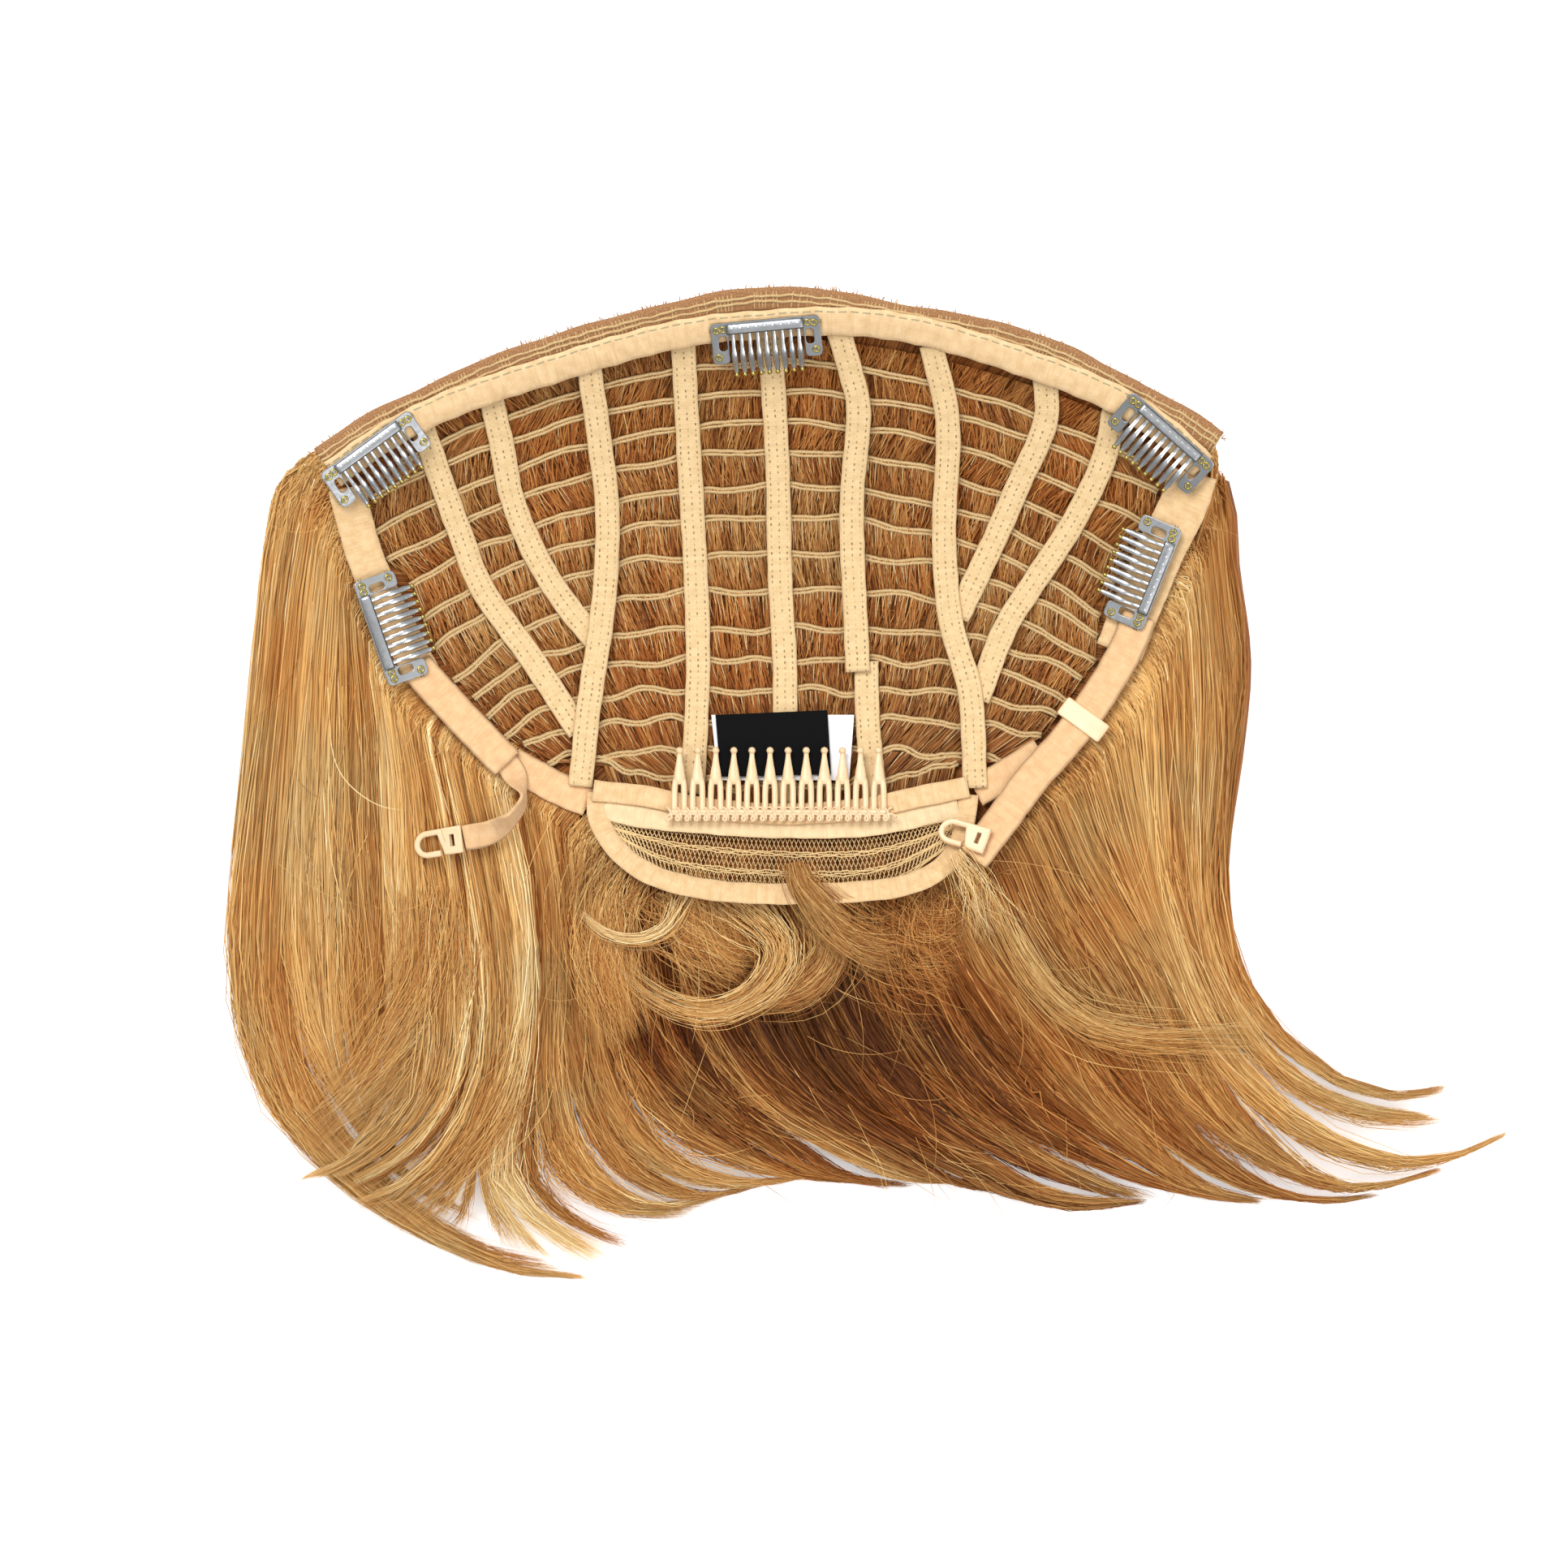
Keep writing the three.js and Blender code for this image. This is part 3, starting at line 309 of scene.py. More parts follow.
# A tape's cross-section from its left edge over its top and back below: across, and up
TAPE_SECTION = np.array([
    (-1, 0.35), (-0.95, 0.8), (-0.75, 1), (-0.4, 1), (0, 1), (0.4, 1), (0.75, 1), (0.95, 0.8),
    (1, 0.35), (0.95, 0), (0.4, 0), (-0.4, 0), (-0.95, 0),
])


def strip(shares, width, layer, seed, thickness=CLOTH, pitch=1.5 * MM, ripple=0.15 * MM, pucker=0.0):
    """A cloth tape laid on the bowl, with uneven edges, and puckered where its stitches pull it in"""
    rng = np.random.default_rng(seed)
    plan = cap_line(shares, pitch)
    place = distances(plan)
    share = place / place[-1]
    across, up = TAPE_SECTION.T
    edges = waves(rng, (2,), share, (3.1, 7.7, 13.3)) * ripple
    pull = pucker * np.abs(np.sin(math.pi * place / (10 * MM)))
    offset = across * width / 2 + np.where(across < 0, edges[0][:, None], edges[1][:, None])
    offset = offset * (1 - pull[:, None] / width * 0.8)
    spots = plan[:, None] + rightwards(plan)[:, None] * offset[..., None]
    lift = waves(rng, (1,), share, (5.9, 11.3, 17.1))[0] * ripple + pull
    return laid(spots, layer + up * thickness + np.abs(lift)[:, None] * (1 - across**2))


def closed_ends(grid):
    """The same strip with both its open ends drawn shut"""
    first, last = grid[:1], grid[-1:]
    first, last = (end.mean(1, keepdims=True) * (1 - SHUT) + end * SHUT for end in (first, last))
    return np.concatenate([first, grid, last], 0)


# Materials
class Graph:
    """A material's nodes, joined as they are made. A value that is a socket is linked, others are set."""

    def __init__(self, name):
        self.material = bpy.data.materials.new(name)
        self.material.use_nodes = True
        self.tree = self.material.node_tree
        self.shader = self.tree.nodes["Principled BSDF"]

    def node(self, kind, inputs=(), **settings):
        made = self.tree.nodes.new(kind)
        for key, value in settings.items():
            setattr(made, key, value)
        for key, value in dict(inputs).items():
            self.join(value, made.inputs[key])
        return made

    def join(self, value, socket):
        if isinstance(value, bpy.types.NodeSocket):
            self.tree.links.new(value, socket)
        else:
            socket.default_value = value

    def math(self, operation, *values):
        made = self.node("ShaderNodeMath", enumerate(values), operation=operation)
        return made.outputs[0]

    def plus(self, first, second):
        return self.math("ADD", first, second)

    def less(self, first, second):
        return self.math("SUBTRACT", first, second)

    def times(self, first, second):
        return self.math("MULTIPLY", first, second)

    def ripples(self, length, each_mm):
        return self.math("SINE", self.times(length, 2 * math.pi * each_mm))

    def lengths(self):
        """Millimetres across and along the piece"""
        place = self.node("ShaderNodeUVMap", uv_map="Lengths").outputs[0]
        parts = self.node("ShaderNodeSeparateXYZ", {0: place}).outputs
        return self.times(parts[0], 1 / MM), self.times(parts[1], 1 / MM)

    def tone(self):
        return self.node("ShaderNodeAttribute", attribute_name="tone").outputs["Fac"]

    def place(self):
        return self.node("ShaderNodeNewGeometry").outputs["Position"]

    def vector(self, x, y, z=0.0):
        return self.node("ShaderNodeCombineXYZ", enumerate((x, y, z))).outputs[0]

    def noise(self, vector, scale=1.0, detail=2.0):
        made = self.node("ShaderNodeTexNoise", {"Vector": vector, "Scale": scale, "Detail": detail})
        return made.outputs["Fac"]

    def range(self, value, low, high, to_low=0.0, to_high=1.0):
        made = self.node("ShaderNodeMapRange", enumerate((value, low, high, to_low, to_high)))
        return made.outputs[0]

    def ramp(self, value, stops):
        made = self.node("ShaderNodeValToRGB", {0: value})
        elements = made.color_ramp.elements
        while len(elements) < len(stops):
            elements.new(0.5)
        for element, (place, colour) in zip(elements, stops):
            element.position = place
            element.color = (*colour, 1)
        return made.outputs[0]

    def mix(self, share, first, second):
        made = self.node("ShaderNodeMix", data_type="RGBA")
        for socket, value in zip((made.inputs[0], made.inputs[6], made.inputs[7]), (share, first, second)):
            self.join((*value, 1) if isinstance(value, tuple) else value, socket)
        return made.outputs[2]

    def finish(self, colour, roughness, height=None, depth=0.1 * MM, **sockets):
        self.join((*colour, 1) if isinstance(colour, tuple) else colour, self.shader.inputs["Base Color"])
        self.join(roughness, self.shader.inputs["Roughness"])
        for key, value in sockets.items():
            self.join(value, self.shader.inputs[key.replace("_", " ")])
        if height is not None:
            bump = self.node("ShaderNodeBump", {"Height": height, "Distance": depth, "Strength": 1.0})
            self.join(bump.outputs[0], self.shader.inputs["Normal"])
        return self.material


# Hair colours from the darkest tone to the palest: copper and gold, and the khaki that grows among them
HAIR_TONES = [
    (0.0, (0.08, 0.019, 0.003)),
    (0.25, (0.32, 0.092, 0.017)),
    (0.5, (0.56, 0.26, 0.07)),
    (0.75, (0.76, 0.46, 0.155)),
    (1.0, (0.92, 0.72, 0.38)),
]
KHAKI_TONES = [
    (0.0, (0.075, 0.022, 0.005)),
    (0.25, (0.29, 0.118, 0.03)),
    (0.5, (0.50, 0.292, 0.10)),
    (0.75, (0.71, 0.49, 0.205)),
    (1.0, (0.90, 0.76, 0.46)),
]


def hair_colour(g, tone):
    """Copper or khaki hair of a tone, in zones a few locks wide"""
    zones = g.noise(g.place(), 32.0, 1.0)
    single = g.noise(g.vector(g.times(tone, 9.0), 0.0), 3.0, 1.0)
    khaki = g.range(g.plus(zones, g.times(single, 0.6)), 0.68, 1.0, 0.0, 0.85)
    return g.mix(khaki, g.ramp(tone, HAIR_TONES), g.ramp(tone, KHAKI_TONES))


def hair_strands():
    g = Graph("hair_strands")
    across, along = g.lengths()
    tone = g.tone()
    drift = g.noise(g.vector(across, g.times(along, 0.05), g.times(tone, 40.0)))
    tone = g.plus(tone, g.range(drift, 0.3, 0.7, -0.08, 0.08))
    return g.finish(hair_colour(g, tone), 0.5, Specular_IOR_Level=0.12)


def hair_mass():
    """Hair seen as a mass: fine streaks along each lock"""
    g = Graph("hair_mass")
    across, along = g.lengths()
    tone = g.tone()
    fine = g.noise(g.vector(g.times(across, 3.0), g.times(along, 0.06)), 1.0, 3.0)
    broad = g.noise(g.vector(g.times(across, 0.5), g.times(along, 0.03), 3.0))
    tone = g.plus(tone, g.range(fine, 0.3, 0.7, -0.2, 0.2))
    tone = g.plus(tone, g.range(broad, 0.3, 0.7, -0.1, 0.1))
    return g.finish(hair_colour(g, tone), 0.6, fine, 0.4 * MM, Specular_IOR_Level=0.1)


def needle_holes(g, across, along):
    """Oval holes in three rows, plain in some places and faint in others"""
    row = g.math("DIVIDE", g.math("PINGPONG", g.plus(across, 0.7), 1.15), 0.24)
    step = g.math("DIVIDE", g.math("PINGPONG", along, 0.85), 0.45)
    far = g.plus(g.math("POWER", row, 2.0), g.math("POWER", step, 2.0))
    inner = g.math("LESS_THAN", g.math("ABSOLUTE", g.less(across, 3.9)), 2.8)
    some = g.range(g.noise(g.vector(across, along), 0.7, 1.0), 0.4, 0.6, 0.15, 1.0)
    return g.times(g.times(g.math("LESS_THAN", far, 1.0), inner), some)


def woven(name, colour, shade, holes=False, weave=2.2, slant=0.0, seam=None, width=None):
    """Tape: fine threads across and along it. A ribbon has three rows of needle holes, the front tape has a
    dashed seam, and an elastic has darker edges. Places across are millimetres from the left edge."""
    g = Graph(name)
    across, along = g.lengths()
    warp = g.ripples(across, weave)
    weft = g.ripples(g.plus(along, g.times(across, slant)), weave)
    threads = g.times(g.plus(warp, weft), 0.25)
    patches = g.noise(g.vector(across, along), 0.35, 3.0)
    bands = g.noise(g.vector(g.times(across, 0.1), g.times(along, 1.4)), 1.0, 2.0)
    base = g.mix(g.range(patches, 0.35, 0.75), colour, shade)
    base = g.mix(g.range(bands, 0.5, 0.75, 0.0, 0.8), base, shade)
    # Where the threads dip, the cloth is painted darker: painted shade between the threads
    base = g.mix(g.range(threads, 0.1, -0.5, 0.0, 0.45), base, shade)
    height = g.plus(threads, g.times(bands, 0.8))
    if holes:
        hole = needle_holes(g, across, along)
        base = g.mix(g.times(hole, 0.85), base, (0.17, 0.125, 0.06))
        height = g.less(height, g.times(hole, 1.5))
    if seam is not None:
        near = g.math("LESS_THAN", g.math("ABSOLUTE", g.less(across, seam)), 0.24)
        dash = g.math("LESS_THAN", g.math("PINGPONG", along, 1.7), 1.15)
        stitch = g.times(near, dash)
        base = g.mix(g.times(stitch, 0.75), base, (0.27, 0.25, 0.15))
    if width is not None:
        edge = g.math("MINIMUM", across, g.math("ABSOLUTE", g.less(width + 1.0, across)))
        base = g.mix(g.range(edge, 0.5, 1.3, 0.7, 0.0), base, tuple(c * 0.55 for c in shade))
    return g.finish(base, 0.85, height, 0.08 * MM, Sheen_Weight=0.1, Specular_IOR_Level=0.25)


def thread(name, colour, shade, twist=1.6):
    g = Graph(name)
    across, along = g.lengths()
    lean = g.plus(g.times(along, twist), across)
    fibres = g.noise(g.vector(g.times(across, 1.5), lean), 1.6, 3.0)
    return g.finish(g.mix(g.range(fibres, 0.35, 0.65), shade, colour), 0.8, fibres, 0.15 * MM)


def plastic():
    g = Graph("cream_plastic")
    cloud = g.noise(g.place(), 220.0, 2.0)
    base = g.mix(g.range(cloud, 0.3, 0.7), (0.79, 0.54, 0.31), (0.82, 0.60, 0.37))
    return g.finish(base, 0.35, cloud, 0.03 * MM, Subsurface_Weight=0.15, Subsurface_Scale=0.002)


def steel(name, colour, roughness):
    g = Graph(name)
    place = g.place()
    brushed = g.noise(place, 900.0, 3.0)
    worn = g.noise(place, 160.0, 3.0)
    base = g.mix(g.range(worn, 0.4, 0.75, 0.0, 0.35), colour, tuple(c * 0.55 for c in colour))
    rough = g.range(brushed, 0.3, 0.7, roughness * 0.8, roughness * 1.3)
    return g.finish(base, rough, brushed, 0.02 * MM, Metallic=1.0)


# Threads to the millimetre
LABEL_WEAVE = 2.6


def label_cloth(name, colour, shade):
    g = Graph(name)
    across, along = g.lengths()
    weave = g.times(g.ripples(across, LABEL_WEAVE), g.ripples(along, LABEL_WEAVE))
    base = g.mix(g.range(weave, -1.0, 1.0), shade, colour)
    return g.finish(base, 0.8, weave, 0.03 * MM, Specular_IOR_Level=0.08)


def white_floor():
    g = Graph("white_floor")
    glow = {"Emission_Color": (1.0, 1.0, 1.0, 1.0), "Emission_Strength": 0.35}
    return g.finish((0.93, 0.93, 0.93), 0.9, g.noise(g.place(), 60.0), 0.01 * MM, **glow)


STRANDS = hair_strands()
MASS = hair_mass()
RIBBON = woven("ribbon_cloth", (0.76, 0.55, 0.30), (0.63, 0.44, 0.22), holes=True)
TAPE = woven("tape_cloth", (0.80, 0.56, 0.31), (0.62, 0.40, 0.19))
NAPE_CLOTH = woven("nape_tape_cloth", (0.82, 0.63, 0.38), (0.68, 0.50, 0.28))
FRONT_CLOTH = woven("front_tape_cloth", (0.82, 0.59, 0.34), (0.66, 0.44, 0.22), seam=1.7)
STRAP = woven("strap_elastic", (0.77, 0.51, 0.275), (0.65, 0.385, 0.19), weave=1.4, slant=0.6, width=10.0)
WEFT = thread("weft_cord", (0.70, 0.50, 0.25), (0.40, 0.25, 0.10))
KNIT = thread("rim_knit", (0.44, 0.225, 0.09), (0.20, 0.08, 0.026))
NET = thread("net_thread", (0.84, 0.61, 0.30), (0.62, 0.43, 0.19))
SEWING = thread("sewing_thread", (0.90, 0.68, 0.44), (0.70, 0.48, 0.28), twist=3.0)
DARK_SEWING = thread("dark_sewing_thread", (0.33, 0.28, 0.14), (0.16, 0.13, 0.06), twist=3.0)
PLASTIC = plastic()
STEEL = steel("clip_steel", (0.33, 0.34, 0.35), 0.4)
BRIGHT_STEEL = steel("clip_bright_steel", (0.64, 0.65, 0.66), 0.24)
BRASS = steel("clip_brass", (0.52, 0.42, 0.12), 0.32)
LABEL_BLACK = label_cloth("label_black", (0.006, 0.006, 0.007), (0.002, 0.002, 0.002))
LABEL_WHITE = label_cloth("label_white", (0.95, 0.95, 0.97), (0.85, 0.85, 0.87))


# The bed of hair below the cap, from the front centre round by the left ear
CAP_OUTLINE = [
    (0, 0.589), (-0.3, 0.554), (-0.605, 0.487), (-0.856, 0.396), (-0.985, 0.325), (-0.98, 0.262),
    (-0.925, 0.138), (-0.838, 0), (-0.713, -0.11), (-0.551, -0.227), (-0.415, -0.29), (-0.345, -0.36),
    (-0.174, -0.41), (0, -0.42), (0.185, -0.415), (0.346, -0.375), (0.49, -0.289), (0.67, -0.138),
    (0.795, -0.014), (0.885, 0.11), (0.95, 0.248), (0.955, 0.34), (0.831, 0.426), (0.598, 0.509),
    (0.311, 0.561),
]
BED_CENTRE = np.array([0, 0.08]) * CAP
# Rings of the bed from the floor up its wall and in over the dish
BED_RINGS = [
    (0.93, 0.01), (0.97, 0.2), (0.99, 0.5), (1, 0.75), (0.985, 0.95), (0.96, 1), (0.9, 1), (0.8, 1),
    (0.65, 1), (0.5, 1), (0.35, 1), (0.2, 1), (0.02, 1),
]
BED_SIDES = 180
# The bed is dark copper hair, its tone kept low as painted shade in the gaps between the hairs over it
BED_TONE = 0.16


def cap_edge(count):
    return smooth_line(np.array(CAP_OUTLINE) * CAP, count + 1, closed=True)[:-1]


def hair_bed():
    edge = cap_edge(BED_SIDES)
    rings = []
    for reach, wall in BED_RINGS:
        plan = BED_CENTRE + (edge - BED_CENTRE) * reach
        rings.append(raised(plan, wall * (bowl_height(plan) + PAD_LAYER)))
    grid = np.stack(rings)[:, ::-1]
    Pile().add(grid, BED_TONE, wrap=True).piece("hair_bed", MASS, "hair", ["hair_under_cap"])


# Rows of doubled cord across the cap: both ends, the height at the centre, and how square each arch is
WEFT_ROWS = [
    {"left": (-0.83, 0.315), "crown": 0.485, "right": (0.8, 0.315), "arch": 1.8},
    {"left": (-0.89, 0.255), "crown": 0.435, "right": (0.84, 0.262), "arch": 1.9},
    {"left": (-0.89, 0.195), "crown": 0.385, "right": (0.83, 0.2), "arch": 2},
    {"left": (-0.86, 0.145), "crown": 0.335, "right": (0.77, 0.155), "arch": 2.1},
    {"left": (-0.81, 0.108), "crown": 0.277, "right": (0.745, 0.108), "arch": 2.2},
    {"left": (-0.78, 0.05), "crown": 0.225, "right": (0.715, 0.06), "arch": 2.4},
    {"left": (-0.755, 0), "crown": 0.162, "right": (0.71, 0.022), "arch": 2.8},
    {"left": (-0.715, -0.052), "crown": 0.1, "right": (0.705, -0.025), "arch": 3.2},
    {"left": (-0.67, -0.082), "crown": 0.035, "right": (0.675, -0.05), "arch": 3.6},
    {"left": (-0.64, -0.11), "crown": -0.018, "right": (0.645, -0.088), "arch": 4.4},
    {"left": (-0.6, -0.146), "crown": -0.07, "right": (0.62, -0.12), "arch": 5},
    {"left": (-0.56, -0.167), "crown": -0.12, "right": (0.585, -0.152), "arch": 5},
    {"left": (-0.505, -0.192), "crown": -0.172, "right": (0.5, -0.192), "arch": 4},
    {"left": (-0.39, -0.195), "crown": -0.232, "right": (0.4, -0.193), "arch": 2},
]


# Where the hair of the first row starts, and where that of the last one ends
FRONT_ROW = {"left": (-0.88, 0.35), "crown": 0.525, "right": (0.86, 0.35), "arch": 1.8}
NAPE_ROW = {"left": (-0.36, -0.26), "crown": -0.28, "right": (0.38, -0.26), "arch": 2}
ROW_POINTS = 60
# How far each of a row's two cords lies from its middle, and how thick it is
CORD_APART = 0.5 * MM
CORD_RADIUS = 0.55 * MM


def weft_plan(row, count):
    (left, left_end), (right, right_end) = row["left"], row["right"]
    across = np.linspace(left, right, count)
    side = np.where(across < 0, left, right)
    end = np.where(across < 0, left_end, right_end)
    along = row["crown"] + (end - row["crown"]) * np.abs(across / side) ** row["arch"]
    return smooth_line(np.stack([across, along], -1) * CAP, count)


def wavy_weft(index, count=140):
    """The row's line with the small waves of a cord that is only sewn at the ribbons"""
    rng = np.random.default_rng(100 + index)
    plan = weft_plan(WEFT_ROWS[index], count)
    share = np.linspace(0, 1, count)
    slack = (0.6 + 0.1 * index) * MM
    sway = waves(rng, (1,), share, (4.3, 6.9, 9.7))[0] * slack
    return plan + np.stack([np.zeros(count), sway], -1)


def wefts():
    for index in range(len(WEFT_ROWS)):
        rng = np.random.default_rng(150 + index)
        plan = wavy_weft(index)
        share = np.linspace(0, 1, len(plan))
        right = rightwards(plan)
        apart = waves(rng, (2,), share, (17.3, 29.1, 43.7)) * 0.16 * MM
        lift = waves(rng, (2,), share, (19.1, 31.7, 47.3)) * 0.15 * MM
        offsets = np.array([[-CORD_APART], [CORD_APART]]) + apart
        cords = laid(plan + right * offsets[..., None], WEFT_LAYER + WEFT_THICKNESS / 2 + 0.05 * MM + lift)
        pile = Pile().add(tubes(cords, CORD_RADIUS, sides=4), wrap=True)
        name = f"weft_{index + 1:02d}"
        pile.piece(f"{name}_cords", WEFT, "weft_cord", [name])


# Hairs and thread ends in a row as wide as the cap's half
ROW_HAIRS = 740
ROW_LOOPS = 150
# The tone of the hair below each row, and how much of its sewing thread shows, from the front to the nape
ROW_LOOKS = [
    (0.26, 0.0), (0.26, 0.1), (0.27, 0.2), (0.26, 0.3), (0.27, 0.6), (0.28, 0.8), (0.29, 1), (0.3, 1),
    (0.27, 0.8), (0.25, 0.7), (0.23, 0.6), (0.22, 0.6), (0.21, 0.5), (0.2, 0.5), (0.19, 0.2),
]


def between_rows(upper, lower, place, wander):
    """Where hairs start on one row, and how far and which way the next row lies from there"""
    start = along_line(weft_plan(upper, ROW_POINTS), place)
    end = along_line(weft_plan(lower, ROW_POINTS), place + wander)
    return start[:, None], (end - start)[:, None]


def hair_between_wefts():
    """Hair sewn into each row runs down over the next, with the pale ends of its thread among it"""
    rng = np.random.default_rng(21)
    rows = [FRONT_ROW, *WEFT_ROWS, NAPE_ROW]
    hair, fringe = Pile(), Pile()
    steps = np.linspace(0, 1, 5)
    for (tone_here, thread_here), upper, lower in zip(ROW_LOOKS, rows, rows[1:]):
        width = abs(upper["left"][0]) + upper["right"][0]
        count = int(ROW_HAIRS * STRAND_SHARE * width)
        place = rng.uniform(0.005, 0.995, count)
        start, way = between_rows(upper, lower, place, rng.normal(0, 0.008, count))
        reach = rng.uniform(1.05, 1.4, count)[:, None]
        plan = start + way * (steps * reach)[..., None]
        plan[..., 0] += waves(rng, (count,), steps, (0.4, 0.9, 1.3)) * 0.9 * MM * steps
        sag = WEFT_LAYER + (0.9 - (1.5 * steps + 0.2) + rng.uniform(0, 0.5, (count, 1))) * MM
        tone = tone_here + streaks(rng, place) * 0.08 + rng.normal(0, 0.1, count)
        hair.add(strands(laid(plan, sag), ROW_HAIR, rng, roll=0.4), tone[:, None, None])
        loops = int(ROW_LOOPS * width * thread_here)
        if loops:
            place = np.clip((np.arange(loops) + rng.normal(0, 0.25, loops) + 0.5) / loops, 0, 1)
            start, way = between_rows(upper, lower, place, rng.normal(0, 0.003, loops))
            reach = rng.uniform(0.3, 0.8, (loops, 1))
            short = start + way * (steps * reach)[..., None]
            lift = WEFT_LAYER + (1.3 - 1.2 * steps) * MM + np.zeros((loops, 1))
            fringe.add(strands(laid(short, lift), ROW_THREAD, rng, roll=0.35, point=0.7), 0.5)
    hair.piece("hair_between_wefts", STRANDS, "hair")
    fringe.piece("weft_fringe", WEFT, "weft_cord")


def streaks(rng, place):
    return waves(rng, (), place, (11.0, 23.0, 41.0))


def along_line(line, place):
    """Points at shares of a line's length"""
    share = distances(line) / distances(line)[-1]
    return np.stack([np.interp(place, share, axis) for axis in line.T], -1)


WALL_HAIRS = 3000
# The wall's tone at the front centre, and how much paler it grows between two shares of the way round
WALL_TONE = 0.34
WALL_PALER = (0.2, 0.07, 0.2)


def hair_round_wall():
    """Hair swept from the front centre back along the outer wall of the bed"""
    rng = np.random.default_rng(33)
    edge = cap_edge(400)
    loop = np.vstack([edge, edge[:1]])
    count = int(WALL_HAIRS * STRAND_SHARE)
    steps = np.linspace(0, 1, 5)
    side = np.where(rng.random(count) < 0.5, 1, -1)
    start = rng.uniform(0, 0.5, count)
    span = rng.uniform(0.04, 0.09, count)
    place = (side[:, None] * (start[:, None] + span[:, None] * steps)) % 1
    plan = along_line(loop, place.ravel()).reshape(count, len(steps), 2)
    out = unit(plan - BED_CENTRE)
    drop = rng.uniform(0.02, 0.93, (count, 1)) - 0.12 * steps * rng.random((count, 1))
    belly = np.sin(math.pi * np.clip(drop, 0, 1)) * 1.6 * MM
    plan = plan + out * (belly + rng.uniform(-0.4, 0.6, (count, 1)) * MM)[..., None]
    height = np.clip(drop, 0.015, 0.94) * (bowl_height(plan) + PAD_LAYER)
    lines = raised(plan, height)
    paler, first, last = WALL_PALER
    tone = WALL_TONE + paler * ease(start, first, last) + streaks(rng, start * 2) * 0.1
    tone = tone + rng.normal(0, 0.13, count)
    pile = Pile().add(strands(lines, WALL_HAIR, rng, roll=0.9), tone[:, None, None])
    pile.piece("hair_round_wall", STRANDS, "hair")


